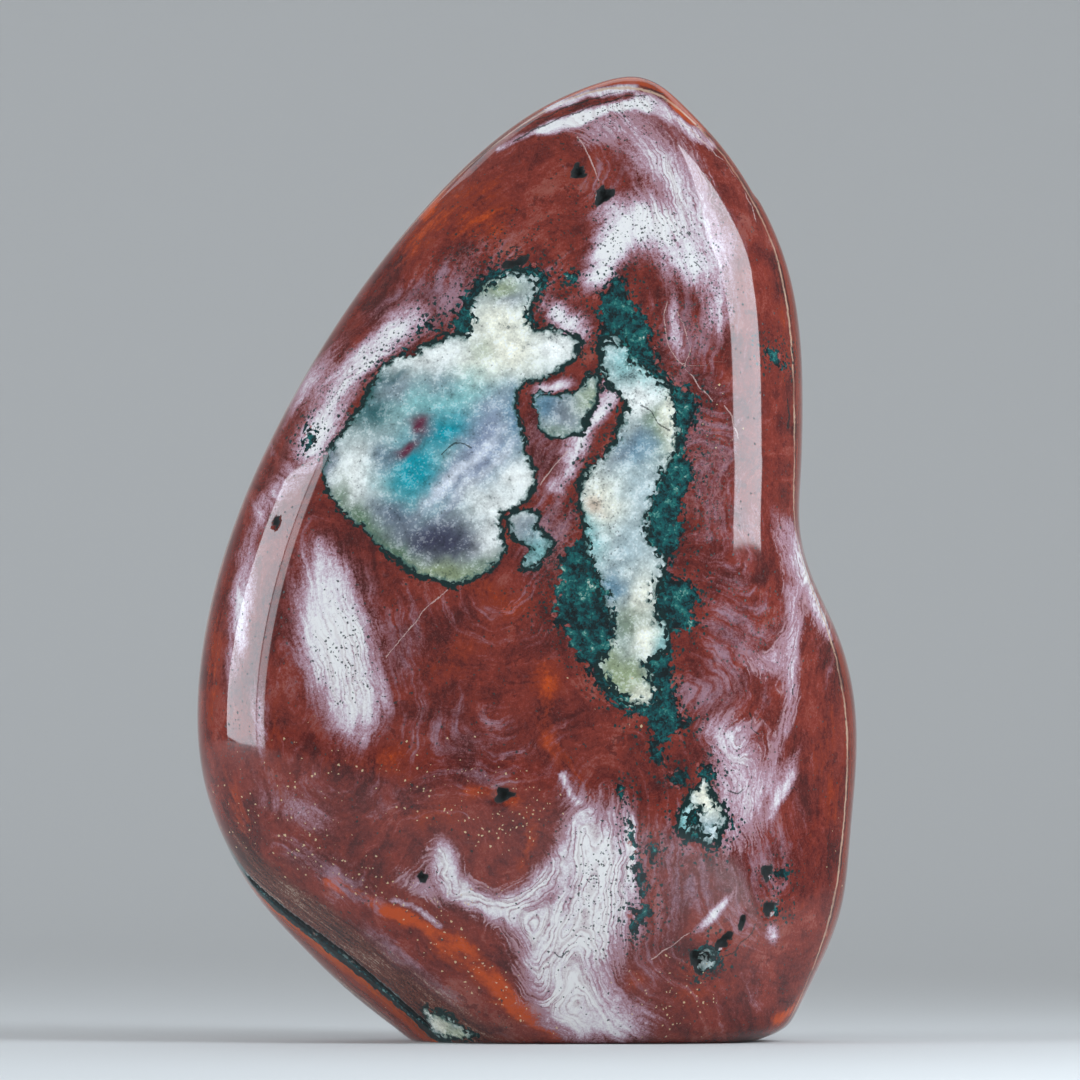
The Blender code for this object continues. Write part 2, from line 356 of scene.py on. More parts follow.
MAUVE = [
    (500, 300, 80, 44, -20, 0.8), (440, 290, 56, 30, -42, 0.75), (600, 180, 40, 50, 0, 0.4),
    (690, 330, 50, 66, 10, 0.7), (720, 430, 40, 100, 0, 0.5), (720, 520, 44, 60, 0, 0.6),
    (740, 640, 56, 84, 0, 0.75), (700, 700, 40, 50, 0, 0.6), (690, 800, 50, 70, 0, 0.3),
    (760, 860, 44, 90, 12, 0.75), (470, 620, 80, 50, -15, 0.3), (560, 640, 46, 40, 0, 0.5),
    (430, 720, 60, 36, 10, 0.5), (480, 760, 60, 50, 0, 0.6), (560, 760, 36, 54, 0, 0.4),
    (400, 640, 36, 80, 10, 0.6), (300, 640, 40, 120, 5, 0.4), (290, 780, 60, 40, 20, 0.3),
    (380, 800, 54, 36, 10, 0.4), (270, 420, 36, 80, 35, 0.6), (650, 960, 50, 60, 0, 0.6),
    (740, 1000, 54, 30, 0, 0.3), (700, 880, 54, 54, 0, 0.6), (830, 640, 16, 70, 0, 0.5),
    (330, 872, 76, 20, 33, 0.85), (400, 960, 90, 16, 38, 0.9), (545, 540, 30, 56, 20, 0.9),
    (660, 140, 60, 40, 30, 0.8), (620, 850, 60, 60, 0, 0.6), (545, 440, 40, 70, 20, 0.8),
    (400, 320, 60, 40, -40, 0.7), (690, 430, 36, 60, 0, 0.5), (660, 560, 30, 60, 0, 0.5),
]
EMBER = [
    (212, 660, 12, 100, 4, 0.5), (426, 230, 70, 20, -45, 0.55), (480, 212, 54, 30, -40, 0.5),
    (545, 700, 22, 60, -10, 0.6), (505, 600, 60, 30, 25, 0.45), (570, 620, 24, 44, 10, 0.3),
    (400, 760, 54, 36, 0, 0.4), (350, 760, 40, 36, 0, 0.4), (785, 330, 8, 100, -6, 0.35),
    (700, 985, 56, 34, -20, 0.55), (760, 905, 34, 44, 20, 0.35), (636, 984, 22, 16, 0, 0.7),
    (830, 760, 22, 120, 0, 0.4), (600, 160, 36, 26, 0, 0.4), (270, 740, 36, 54, 0, 0.35),
    (450, 650, 54, 60, 0, 0.3), (712, 425, 8, 20, -20, 0.8), (236, 800, 12, 54, -18, 0.5),
    (440, 812, 40, 26, 10, 0.5),
]
LACE = [
    (710, 480, 42, 84, 0, 1.0), (560, 540, 36, 64, 10, 0.9), (720, 690, 54, 60, 0, 0.6),
    (480, 250, 64, 36, -30, 0.7), (600, 700, 54, 26, 40, 0.4), (640, 800, 36, 54, 0, 0.25),
    (740, 840, 54, 54, 0, 0.45), (670, 380, 22, 36, 0, 0.8),
]
PEPPER = [
    (640, 240, 84, 46, 0, 0.9), (700, 300, 40, 60, 0, 1.0), (380, 355, 60, 26, -42, 0.8),
    (330, 410, 50, 32, -50, 0.8), (345, 650, 36, 70, 0, 0.75), (560, 320, 44, 28, 0, 1.0),
    (600, 450, 66, 20, -52, 1.0), (490, 250, 66, 36, -20, 1.0), (400, 720, 54, 54, 0, 0.2),
    (560, 300, 36, 36, 0, 0.6), (650, 380, 50, 36, 0, 1.0), (545, 560, 28, 54, 0, 0.9),
    (600, 900, 54, 84, 0, 0.55), (240, 700, 34, 70, 0, 0.45), (600, 150, 74, 54, 0, 0.3),
    (550, 620, 54, 36, 0, 0.4), (740, 760, 44, 60, 0, 0.4), (620, 110, 60, 18, -20, 1.0),
    (706, 470, 30, 90, 0, 0.95), (750, 620, 54, 74, 0, 0.45), (430, 300, 60, 20, -40, 0.5),
    (600, 540, 30, 90, 0, 0.7),
]
GOLD = [
    (330, 860, 100, 40, 30, 0.9), (505, 810, 60, 50, 0, 1.0), (470, 965, 110, 26, 42, 1.0),
    (670, 1000, 60, 50, 0, 0.9), (320, 760, 60, 64, 0, 0.6), (430, 780, 74, 54, 0, 0.6),
    (240, 800, 36, 54, 0, 0.5), (620, 700, 54, 54, 0, 0.2), (490, 230, 80, 36, -40, 0.3),
    (830, 850, 26, 120, 0, 0.25), (600, 700, 120, 110, 0, 0.12), (720, 420, 26, 54, 0, 0.4),
    (480, 900, 60, 20, 0, 0.7), (420, 600, 74, 74, 0, 0.1),
]
BANDED = [
    (545, 940, 90, 90, 0, 1.1), (600, 850, 50, 90, 0, 0.8), (450, 870, 80, 36, 20, 1.1),
    (480, 900, 80, 40, 20, 1.1), (800, 600, 50, 100, -20, 0.9), (760, 690, 54, 100, 0, 0.8),
    (345, 660, 50, 90, 0, 0.5), (690, 170, 54, 80, 30, 0.9), (620, 115, 70, 34, -20, 0.7),
    (800, 480, 26, 90, 0, 0.4), (740, 850, 54, 90, 0, 0.5), (330, 380, 80, 34, -50, 0.4),
    (440, 960, 90, 30, 42, 0.6),
]

# Soft streams along a route, with half width and strength.
BLEACHED_STREAMS = [
    ([(414, 318), (382, 340), (354, 370), (332, 408), (312, 446)], 21, 0.62),
    ([(616, 380), (594, 420), (572, 456), (556, 484)], 14, 0.66),
    ([(612, 396), (590, 430), (566, 470)], 5, 0.5),
    ([(450, 872), (464, 892), (490, 905), (520, 900), (545, 880)], 11, 0.6),
    ([(792, 590), (797, 640), (790, 690), (780, 740), (772, 790)], 8, 0.4),
    ([(394, 897), (416, 910), (438, 928)], 3.5, 0.6),
    ([(563, 776), (570, 788), (578, 802)], 3, 0.8),
    ([(540, 132), (575, 119), (610, 108), (648, 106)], 7, 1.15),
    ([(500, 150), (540, 132)], 4, 0.6),
    ([(640, 100), (672, 116), (700, 138)], 6, 0.5),
    ([(545, 108), (580, 95), (612, 88), (636, 88)], 6, 0.75),
    ([(640, 96), (666, 106), (690, 124), (712, 148)], 5, 0.6),
]
EMBER_STREAMS = [
    ([(330, 884), (370, 896), (400, 914), (436, 936)], 9, 1.2),
    ([(440, 944), (466, 956), (494, 980), (522, 1006), (560, 1032)], 15, 1.2),
    ([(548, 742), (574, 770), (596, 806), (604, 830)], 12, 0.6),
    ([(470, 790), (510, 800), (532, 830), (528, 862)], 12, 0.6),
    ([(420, 210), (455, 168), (489, 136), (530, 108), (570, 90), (600, 82)], 8, 1.5),
    ([(636, 80), (660, 86), (680, 102), (700, 126)], 9, 1.5),
    ([(836, 930), (820, 965), (800, 1000), (780, 1020)], 8, 0.9),
]

# The line that the agate bands of each part run alongside.
FOLD_LINES = [
    [(497, 931), (510, 948), (522, 970), (540, 985), (552, 960), (566, 930), (582, 892), (588, 861), (584, 830)],
    [(456, 836), (462, 868), (474, 888), (500, 894), (524, 888), (541, 870), (538, 850), (524, 840)],
    [(386, 880), (404, 868), (420, 848), (440, 842), (450, 860), (456, 890)],
    [(606, 790), (606, 850), (600, 900), (598, 940), (606, 980), (630, 1010), (660, 1030)],
    [(280, 860), (330, 900), (390, 948), (440, 985), (500, 1025), (560, 1040)],
    [(786, 500), (802, 570), (798, 620), (786, 660), (776, 720), (770, 800), (780, 880)],
    [(640, 640), (680, 620), (720, 630), (756, 660), (768, 700), (740, 740)],
    [(640, 90), (676, 130), (704, 200), (730, 300), (720, 380)],
    [(320, 540), (330, 600), (352, 660), (360, 720), (340, 770)],
    [(230, 520), (222, 620), (228, 720), (250, 800)],
    [(300, 440), (340, 380), (420, 310), (470, 230), (560, 170)],
    [(500, 590), (530, 545), (560, 500), (600, 440), (640, 400)],
]

# What shows inside the filled hollows: colour, middle, half length, half width, turn and strength.
CRYSTAL_SPOTS = [
    ("khaki", 500, 288, 26, 12, 0, 0.9), ("ash", 509, 300, 18, 11, 0, 0.8),
    ("cream", 500, 322, 34, 20, 0, 0.9), ("cream", 512, 350, 44, 26, 0, 1.0),
    ("white", 556, 348, 24, 20, -20, 1.0), ("cream", 478, 366, 50, 22, 0, 0.8),
    ("khaki", 480, 350, 14, 12, 0, 0.6), ("white", 432, 358, 44, 18, -10, 0.9),
    ("white", 356, 478, 34, 36, 20, 1.0), ("pale_teal", 440, 400, 74, 30, -8, 0.9),
    ("pale_teal", 412, 480, 40, 44, 20, 0.9), ("teal", 447, 430, 44, 22, -12, 1.0),
    ("teal", 416, 470, 34, 40, 0, 1.0), ("deep_teal", 376, 412, 24, 18, -40, 0.9),
    ("deep_teal", 364, 396, 12, 30, 20, 1.0), ("deep_teal", 390, 378, 26, 8, -30, 0.9),
    ("deep_teal", 470, 262, 12, 20, 10, 0.8),
    ("ash", 398, 388, 26, 16, -20, 0.7), ("mulberry", 420, 426, 14, 12, 0, 1.0),
    ("mulberry", 408, 448, 20, 9, -28, 1.0), ("ash", 440, 382, 20, 22, 0, 0.6),
    ("slate", 384, 456, 16, 20, 0, 0.7), ("lilac", 486, 432, 24, 60, 28, 0.9),
    ("sky", 516, 425, 10, 40, -6, 1.0), ("sky", 500, 470, 18, 34, 20, 0.9),
    ("lilac", 470, 470, 60, 22, -44, 0.9), ("frost", 456, 476, 66, 6, -44, 1.0),
    ("frost", 478, 478, 60, 5, -44, 0.9), ("slate", 467, 490, 50, 4, -44, 0.7),
    ("white", 516, 478, 22, 24, 0, 0.9), ("white", 496, 505, 34, 22, 20, 0.8),
    ("violet", 440, 540, 62, 30, 4, 1.0), ("violet", 392, 512, 30, 20, 20, 0.8),
    ("indigo", 440, 545, 44, 20, 0, 0.8), ("white", 490, 540, 16, 28, 10, 0.7),
    ("olive", 362, 520, 34, 14, 48, 1.0), ("olive", 392, 552, 36, 14, 36, 1.0),
    ("khaki", 446, 573, 50, 13, 4, 1.0), ("olive", 488, 564, 26, 10, -30, 0.7),
    ("olive", 338, 500, 12, 30, 10, 0.8), ("slate", 327, 470, 8, 40, 12, 0.8),
    ("sky", 548, 404, 22, 18, 0, 1.0), ("ash", 568, 412, 22, 20, 0, 0.9),
    ("khaki", 590, 396, 18, 24, 30, 0.7), ("olive", 556, 432, 30, 8, 0, 0.6),
    ("ash", 528, 530, 26, 22, 0, 0.8), ("pale_teal", 538, 552, 20, 20, 0, 0.8),
    ("pale_teal", 640, 366, 40, 26, 20, 0.8), ("white", 640, 400, 26, 24, 0, 0.9),
    ("khaki", 662, 432, 16, 34, 0, 0.8), ("cream", 670, 420, 10, 40, 0, 0.8),
    ("olive", 650, 424, 16, 14, 0, 0.6), ("sky", 636, 450, 26, 20, 0, 1.0),
    ("slate", 614, 462, 40, 9, -50, 0.8), ("pale_sky", 630, 490, 44, 40, 0, 0.9),
    ("cream", 604, 506, 26, 44, -20, 0.9), ("peach", 594, 506, 12, 14, 0, 0.8),
    ("pale_teal", 588, 534, 16, 34, -20, 0.9), ("pale_sky", 630, 550, 34, 44, 0, 1.0),
    ("sky", 616, 590, 22, 16, 20, 0.9), ("cream", 640, 600, 18, 36, 10, 0.8),
    ("olive", 630, 624, 26, 20, 0, 0.8), ("khaki", 626, 680, 34, 30, 30, 1.0),
    ("cream", 648, 640, 16, 20, 20, 0.9), ("cream", 640, 694, 16, 12, 0, 0.7),
    ("deep_teal", 660, 664, 10, 22, 0, 0.7), ("pale_teal", 662, 640, 10, 22, 0, 0.7),
    ("khaki", 612, 660, 12, 22, -10, 0.8), ("cream", 448, 1028, 34, 7, 38, 0.9),
    ("olive", 440, 1016, 26, 5, 38, 0.7), ("khaki", 462, 1036, 20, 5, 30, 0.6),
    ("cream", 706, 796, 14, 22, -30, 1.0), ("pale_teal", 686, 822, 10, 20, 0, 0.9),
    ("pale_sky", 708, 830, 14, 14, 0, 1.0),
]
CRYSTAL_COLOURS = {
    "pale": (0.42, 0.48, 0.47),
    "white": (0.91, 0.91, 0.87),
    "cream": (0.92, 0.89, 0.75),
    "khaki": (0.27, 0.32, 0.19),
    "olive": (0.100, 0.160, 0.100),
    "ash": (0.20, 0.23, 0.27),
    "slate": (0.110, 0.145, 0.200),
    "violet": (0.080, 0.088, 0.140),
    "indigo": (0.035, 0.035, 0.060),
    "lilac": (0.24, 0.28, 0.38),
    "sky": (0.11, 0.22, 0.30),
    "frost": (0.70, 0.73, 0.80),
    "pale_sky": (0.41, 0.50, 0.52),
    "teal": (0.020, 0.280, 0.340),
    "pale_teal": (0.23, 0.50, 0.50),
    "deep_teal": (0.004, 0.085, 0.095),
    "mulberry": (0.130, 0.025, 0.050),
    "peach": (0.70, 0.48, 0.36),
}

# Fine lines, each a route across the face: cracks healed with pale stone, and dark open ones.
PALE_LINES = [
    [(540, 486), (552, 468), (568, 450)],
    [(456, 580), (420, 616), (384, 660)],
    [(576, 136), (589, 156), (600, 180)],
    [(724, 404), (733, 422), (739, 441)],
    [(672, 352), (690, 374), (712, 402)],
    [(650, 960), (672, 946), (690, 934)],
    [(410, 560), (430, 552), (452, 556)],
    [(668, 300), (665, 322), (670, 348), (682, 363), (690, 352), (684, 326), (674, 304)],
    [(676, 118), (700, 138), (725, 162), (744, 190), (757, 222)],
]
DARK_LINES = [
    [(702, 951), (716, 956), (733, 953), (741, 941), (751, 933), (756, 924)],
    [(787, 398), (789, 412), (788, 430)],
    [(748, 714), (753, 720), (752, 728), (758, 734)],
    [(795, 682), (792, 697)],
    [(440, 456), (450, 446), (460, 442), (471, 447)],
    [(640, 404), (652, 412), (658, 424), (670, 430)],
    [(728, 790), (737, 794), (742, 790)],
    [(506, 259), (516, 257), (528, 255)],
    [(553, 952), (560, 957), (570, 951)],
    [(792, 786), (798, 792)],
    [(694, 262), (700, 268)],
    [(500, 139), (539, 119), (575, 105), (610, 95), (634, 89)],
    [(512, 142), (548, 123), (584, 110), (622, 98), (648, 95)],
    [(430, 203), (452, 178), (476, 156), (498, 140)],
]

# How deep the seam between the layers lies: x and z seen from the front, and its y there.
SEAM_LIE = [
    (-53, 32, -2.8), (-43.8, 23.6, -7.0), (-33.6, 15.8, -9.4), (-22.5, 6.8, -11.3), (-17.5, 2, -11.2),
    (-57, 40, -3.2), (-60, 50, -3.6), (-61, 60, -4.6), (-60, 72, -5.6), (-57, 86, -5.8), (-52, 100, -5.6),
    (-45, 114, -5.2), (-38, 126, -5.0), (-30, 138, -4.6), (-21, 150, -4.6), (-10, 162, -5.2),
    (2, 172, -5.6), (12, 177, -4.6), (22, 178, -4.4), (32, 171, -5.6), (40, 160, -6.4), (45, 148, -6.8),
    (48, 134, -6.9), (49, 120, -7.0), (48, 104, -7.8), (49, 92, -7.0), (52, 82, -4.7), (55, 74, -2.3),
    (57.5, 66, -0.2), (58.4, 56, 0.7), (58, 45, 0.4), (57, 34, -0.6), (55, 23, -1.8), (52, 15, -4.4),
    (48, 8, -7.2), (30, 0, -10.0), (10, 0, -12.0),
]
LIE_SPREAD = 9.0

# The side that the picture doesn't show has marks of its own, placed as if seen through the stone.
BACK_HOLLOWS = [
    [
        (556, 446), (576, 410), (604, 398), (622, 376), (660, 372), (684, 396), (712, 430), (706, 470), (724, 506),
        (700, 540), (664, 534), (650, 566), (622, 604), (590, 600), (596, 560), (574, 528), (584, 494), (562, 478),
    ],
    [(470, 664), (486, 640), (514, 634), (540, 652), (528, 680), (536, 706), (508, 716), (484, 700)],
    [(600, 652), (616, 640), (626, 660), (618, 700), (604, 706), (598, 680)],
    [(420, 800), (436, 786), (452, 800), (444, 824), (424, 820)],
    [(700, 610), (716, 600), (724, 622), (712, 640), (700, 632)],
]
BACK_MOSS = [
    [
        (540, 440), (566, 398), (600, 384), (620, 360), (664, 358), (700, 384), (728, 424), (722, 470), (742, 510),
        (716, 556), (676, 552), (662, 590), (630, 624), (590, 622), (576, 580), (556, 548), (566, 500), (544, 478),
    ],
    [(518, 560), (540, 574), (556, 610), (560, 648), (546, 668), (528, 640), (512, 600)],
    [(456, 664), (480, 626), (522, 616), (556, 640), (546, 680), (552, 716), (514, 732), (470, 712)],
    [(590, 640), (616, 622), (640, 650), (636, 710), (620, 764), (604, 724), (590, 690)],
    [(692, 606), (714, 586), (736, 620), (722, 654), (694, 646)],
    [(640, 720), (652, 740), (650, 790), (640, 820), (634, 770)],
]
BACK_BLEACHED = [
    (460, 420, 90, 50, -50, 0.95), (430, 500, 60, 34, -40, 0.7), (690, 640, 60, 110, 10, 0.95),
    (730, 760, 50, 80, 0, 0.7), (360, 700, 40, 120, 10, 0.9), (560, 860, 120, 40, 8, 0.95),
    (480, 920, 90, 30, 20, 0.7), (620, 220, 50, 70, 0, 0.85), (560, 300, 60, 30, -40, 0.5),
    (760, 420, 26, 90, 0, 0.6), (640, 960, 100, 26, 0, 0.6),
]
BACK_CRYSTAL_SPOTS = [
    ("white", 600, 430, 50, 30, -30, 0.9), ("teal", 650, 460, 44, 34, 20, 0.9),
    ("lilac", 620, 500, 50, 26, -30, 0.9), ("violet", 610, 545, 40, 22, 0, 0.9),
    ("cream", 676, 430, 30, 40, 0, 0.9), ("khaki", 590, 560, 36, 12, 10, 0.8),
    ("sky", 660, 505, 24, 26, 0, 0.9), ("cream", 500, 670, 30, 26, 0, 0.8),
    ("pale_teal", 516, 690, 22, 16, 0, 0.8),
]


def rounded(outline, closed=True, runs=4):
    """The outline with its corners rounded: a curve through the same points."""
    points = np.array(outline, float)
    if not closed:
        points = np.vstack((2 * points[0] - points[1], points, 2 * points[-1] - points[-2]))
    before, after, beyond = (np.roll(points, k, axis=0) for k in (1, -1, -2))
    share = np.linspace(0, 1, runs, endpoint=False)[None, :, None]
    p0, p1, p2, p3 = (p[:, None, :] for p in (before, points, after, beyond))
    curve = p1 + share / 2 * (p2 - p0 + share * (2 * p0 - 5 * p1 + 4 * p2 - p3 + share * (3 * (p1 - p2) + p3 - p0)))
    return curve.reshape(-1, 2) if closed else np.vstack((curve[1:-2].reshape(-1, 2), points[-2]))


def inside(places, outline):
    x, y = places[..., 0], places[..., 1]
    odd = np.zeros(x.shape, bool)
    for (x0, y0), (x1, y1) in zip(outline, np.roll(outline, -1, axis=0)):
        crosses = (y0 > y) != (y1 > y)
        odd ^= crosses & (x < (x1 - x0) * (y - y0) / (y1 - y0 + 1e-12) + x0)
    return odd


FAR_OUT = -8.0


def depth_within(places, outlines):
    """How far inside the nearest outline each place is, in mm. It is negative outside."""
    deepest = np.full(len(places), FAR_OUT)
    for outline in outlines:
        line = rounded(outline)
        margin = -FAR_OUT * PIXELS_PER_MM
        near = np.all((places > line.min(0) - margin) & (places < line.max(0) + margin), axis=1)
        local = places[near]
        gap = line_distance(local, np.vstack((line, line[:1]))) / PIXELS_PER_MM
        deepest[near] = np.maximum(deepest[near], np.where(inside(local, line), gap, -gap))
    return deepest


def soft_edge(out):
    """1 in the middle of a mark, a quarter at its edge, where out is 1, and almost nothing a little further."""
    return np.exp(-1.4 * out**2.4)


def spot_cover(places, x, y, half_length, half_width, turn):
    """How much of a soft spot there is at each place."""
    c, s = math.cos(math.radians(turn)), math.sin(math.radians(turn))
    right, down = places[:, 0] - x, places[:, 1] - y
    out = np.hypot((c * right + s * down) / half_length, (c * down - s * right) / half_width)
    return soft_edge(out)


def soft_cover(places, spots, streams=(), halo=0.0):
    """Soft spots and streams laid over each other, from 0 to 1. A halo is a weaker, wider copy of a spot."""
    bare = np.ones(len(places))
    for x, y, half_length, half_width, turn, strength in spots:
        bare *= 1 - np.minimum(strength * spot_cover(places, x, y, half_length, half_width, turn), 1)
        wide = spot_cover(places, x, y, HALO_REACH * half_length, HALO_REACH * half_width, turn)
        bare *= 1 - halo * strength * wide
    for route, half_width, strength in streams:
        out = line_distance(places, rounded(route, closed=False)) / half_width
        bare *= 1 - np.minimum(strength * soft_edge(out), 1)
    return 1 - bare


HALO_REACH = 1.75
CLOUD_HALO = 0.24


def crystal_tint(places, spots):
    tint = np.tile(CRYSTAL_COLOURS["pale"], (len(places), 1)).astype(float)
    for colour, x, y, half_length, half_width, turn, strength in spots:
        cover = (strength * spot_cover(places, x, y, half_length, half_width, turn))[:, None]
        tint += cover * (np.array(CRYSTAL_COLOURS[colour]) - tint)
    return tint


FOLD_BLEND = 1.2


def band_field(places):
    """About the distance in mm to the nearest fold line. The bands are its level lines."""
    gaps = np.array([line_distance(places, rounded(line, closed=False)) for line in FOLD_LINES]) / PIXELS_PER_MM
    return -np.log(np.exp(-gaps / FOLD_BLEND).sum(axis=0)) * FOLD_BLEND


def beside_lines(places, routes):
    """How far each place is from the nearest open line, in mm and with a side, and whether it is beside it."""
    nearest = np.full(len(places), 1e9)
    across = np.zeros(len(places))
    beside = np.zeros(len(places))
    for line in routes:
        route = rounded(line, closed=False)
        for i, (start, end) in enumerate(zip(route, route[1:])):
            run = end - start
            offset = places - start
            share = offset @ run / (run @ run)
            gap = np.linalg.norm(offset - np.clip(share, 0, 1)[:, None] * run, axis=1)
            closer = gap < nearest
            nearest = np.where(closer, gap, nearest)
            side = (run[0] * offset[:, 1] - run[1] * offset[:, 0]) / math.hypot(*run)
            across = np.where(closer, side, across)
            past = ((i == 0) & (share < 0)) | ((i == len(route) - 2) & (share > 1))
            beside = np.where(closer, ~past, beside)
    return across / PIXELS_PER_MM, beside


def above_seam(points):
    """How far in front of the seam between the layers (negative) or behind it (positive) a point lies, in mm."""
    lie = np.array(SEAM_LIE)
    gap = (points[:, None, 0] - lie[:, 0]) ** 2 + (points[:, None, 2] - lie[:, 1]) ** 2
    weight = np.exp(-gap / (2 * LIE_SPREAD**2)) + 1e-4 / (1 + gap)
    return points[:, 1] - (weight @ lie[:, 2]) / weight.sum(axis=1)


def wavering(places, size, reach, seed):
    """The places, each shifted a little by smooth noise, so that soft marks have natural outlines."""
    shifts = [noise.noise_vector(Vector((x / size, y / size, seed))) for x, y in places]
    return places + reach * np.array(shifts)[:, :2]


# The mesh of the stone, and the marks as values on its points.

def stone_faces(columns):
    """Quads between the rows, a fan at the peak and one face for the foot."""
    faces = []
    for row in range(ROWS - 1):
        low, high = row * columns, (row + 1) * columns
        for i in range(columns):
            after = (i + 1) % columns
            faces.append((low + i, low + after, high + after, high + i))
    top, peak = (ROWS - 1) * columns, ROWS * columns
    faces += [(top + i, top + (i + 1) % columns, peak) for i in range(columns)]
    faces.append(tuple(reversed(range(columns))))
    return faces


BAKE_FACE_SHARE = 0.70
BAKE_FOOT_BAND = 0.07


def bake_layout(mesh, points, columns):
    """A flat layout that gives the broad face most of the room, the back the rest and the foot a strip."""
    rows = (np.arange(ROWS) + 0.5) / (ROWS + 1)
    across = np.r_[
        np.linspace(0, BAKE_FACE_SHARE, FACE_COLUMNS, endpoint=False),
        np.linspace(BAKE_FACE_SHARE, 0.995, columns - FACE_COLUMNS + 1),
    ]
    layout = mesh.uv_layers.new(name="OFBake")
    places = np.empty((len(mesh.loops), 2))
    loops = np.empty(len(mesh.loops), int)
    mesh.loops.foreach_get("vertex_index", loops)
    row, column = np.divmod(loops, columns)
    face_of = np.repeat(np.arange(len(mesh.polygons)), [p.loop_total for p in mesh.polygons])
    cell = face_of % columns
    wraps = (cell == columns - 1) & (column == 0)
    places[:, 0] = across[np.where(wraps, columns, np.minimum(column, columns - 1))]
    peak = row == ROWS
    places[peak, 0] = (across[cell[peak]] + across[cell[peak] + 1]) / 2
    places[:, 1] = BAKE_FOOT_BAND + (0.995 - BAKE_FOOT_BAND) * np.where(peak, 1, rows[np.minimum(row, ROWS - 1)])
    foot = face_of == len(mesh.polygons) - 1
    shown = points[loops[foot]] / 1000
    places[foot] = 0.01 + (shown[:, :2] - shown[:, :2].min(0))
    layout.data.foreach_set("uv", places.ravel())


def keep_value(mesh, name, values):
    mesh.attributes.new(name, "FLOAT", "POINT").data.foreach_set("value", np.asarray(values, np.float32))


def keep_colour(mesh, name, colours):
    data = np.ones((len(colours), 4), np.float32)
    data[:, :3] = colours
    mesh.attributes.new(name, "FLOAT_COLOR", "POINT").data.foreach_set("color", data.ravel())


def build_stone():
    grid, pit_shade = hollow_out(stone_grid())
    columns = grid.shape[1]
    points = np.vstack((grid.reshape(-1, 3), (reach(LEFT_EDGE, np.array([HEIGHT]))[0, 0], 0, HEIGHT)))
    mesh = bpy.data.meshes.new("stone_polished")
    mesh.from_pydata((points * MM).tolist(), [], stone_faces(columns))
    smooth = np.ones(len(mesh.polygons), bool)
    smooth[-1] = False
    mesh.polygons.foreach_set("use_smooth", smooth)
    bake_layout(mesh, points, columns)
    stone = bpy.data.objects.new("stone_polished", mesh)
    bpy.context.collection.objects.link(stone)
    lay_marks(mesh, points, np.r_[pit_shade.ravel(), 0])
    return stone


def noise_height(places):
    return 14 * np.array([noise.noise(Vector((x / 170, y / 170, 11.5))) for x, y in places])


def lay_marks(mesh, points, pit_shade):
    seam = above_seam(points)
    front = seam < 4
    places = photo_place(points)
    loose = wavering(wavering(places, 60, 7, 1.5), 17, 4, 7.5)
    crisp = wavering(places, 14, 2.5, 3.5)
    winding = wavering(wavering(places, 46, 17, 21.5), 15, 6, 4.5)

    def both(face_values, back_values):
        return np.where(front, face_values, back_values)

    nothing = np.zeros(len(points))
    keep_value(mesh, "seam", seam)
    keep_value(mesh, "hollow", both(depth_within(crisp, HOLLOWS), depth_within(winding, BACK_HOLLOWS)))
    keep_value(mesh, "moss", both(depth_within(crisp, MOSS), depth_within(winding, BACK_MOSS)))
    # The face's bleached mark, with its few spots of painted sheen and highlight.
    cloud_and_sheen = soft_cover(loose, BLEACHED_AND_SHEEN, BLEACHED_STREAMS, CLOUD_HALO)
    keep_value(mesh, "bleach_and_sheen", both(cloud_and_sheen, soft_cover(winding, BACK_BLEACHED, halo=CLOUD_HALO)))
    keep_value(mesh, "mauve", both(soft_cover(loose, MAUVE), nothing + 0.4))
    keep_value(mesh, "ember", both(soft_cover(loose, EMBER, EMBER_STREAMS), nothing + 0.3))
    keep_value(mesh, "lace", both(soft_cover(loose, LACE), nothing + 0.3))
    keep_value(mesh, "pepper", both(soft_cover(loose, PEPPER), nothing + 0.35))
    keep_value(mesh, "gold", both(soft_cover(loose, GOLD), nothing + 0.25))
    keep_value(mesh, "banded", both(soft_cover(loose, BANDED), nothing + 0.6))
    keep_value(mesh, "bands", both(band_field(crisp), np.abs(noise_height(places))))
    for name, routes in (("pale_line", PALE_LINES), ("dark_line", DARK_LINES)):
        across, beside = beside_lines(crisp, routes)
        keep_value(mesh, name, both(across, nothing + 9))
        keep_value(mesh, "beside_" + name, both(beside, nothing))
    # The painted shade of the pits and the seam groove.
    keep_value(mesh, "recess_shade", pit_shade)
    mottled = wavering(wavering(places, 26, 6, 5.5), 9, 5, 9.5)
    tints = [crystal_tint(mottled, spots) for spots in (CRYSTAL_SPOTS, BACK_CRYSTAL_SPOTS)]
    keep_colour(mesh, "crystal", np.where(front[:, None], *tints))


# The finishes. Every distance in them is in millimetres.

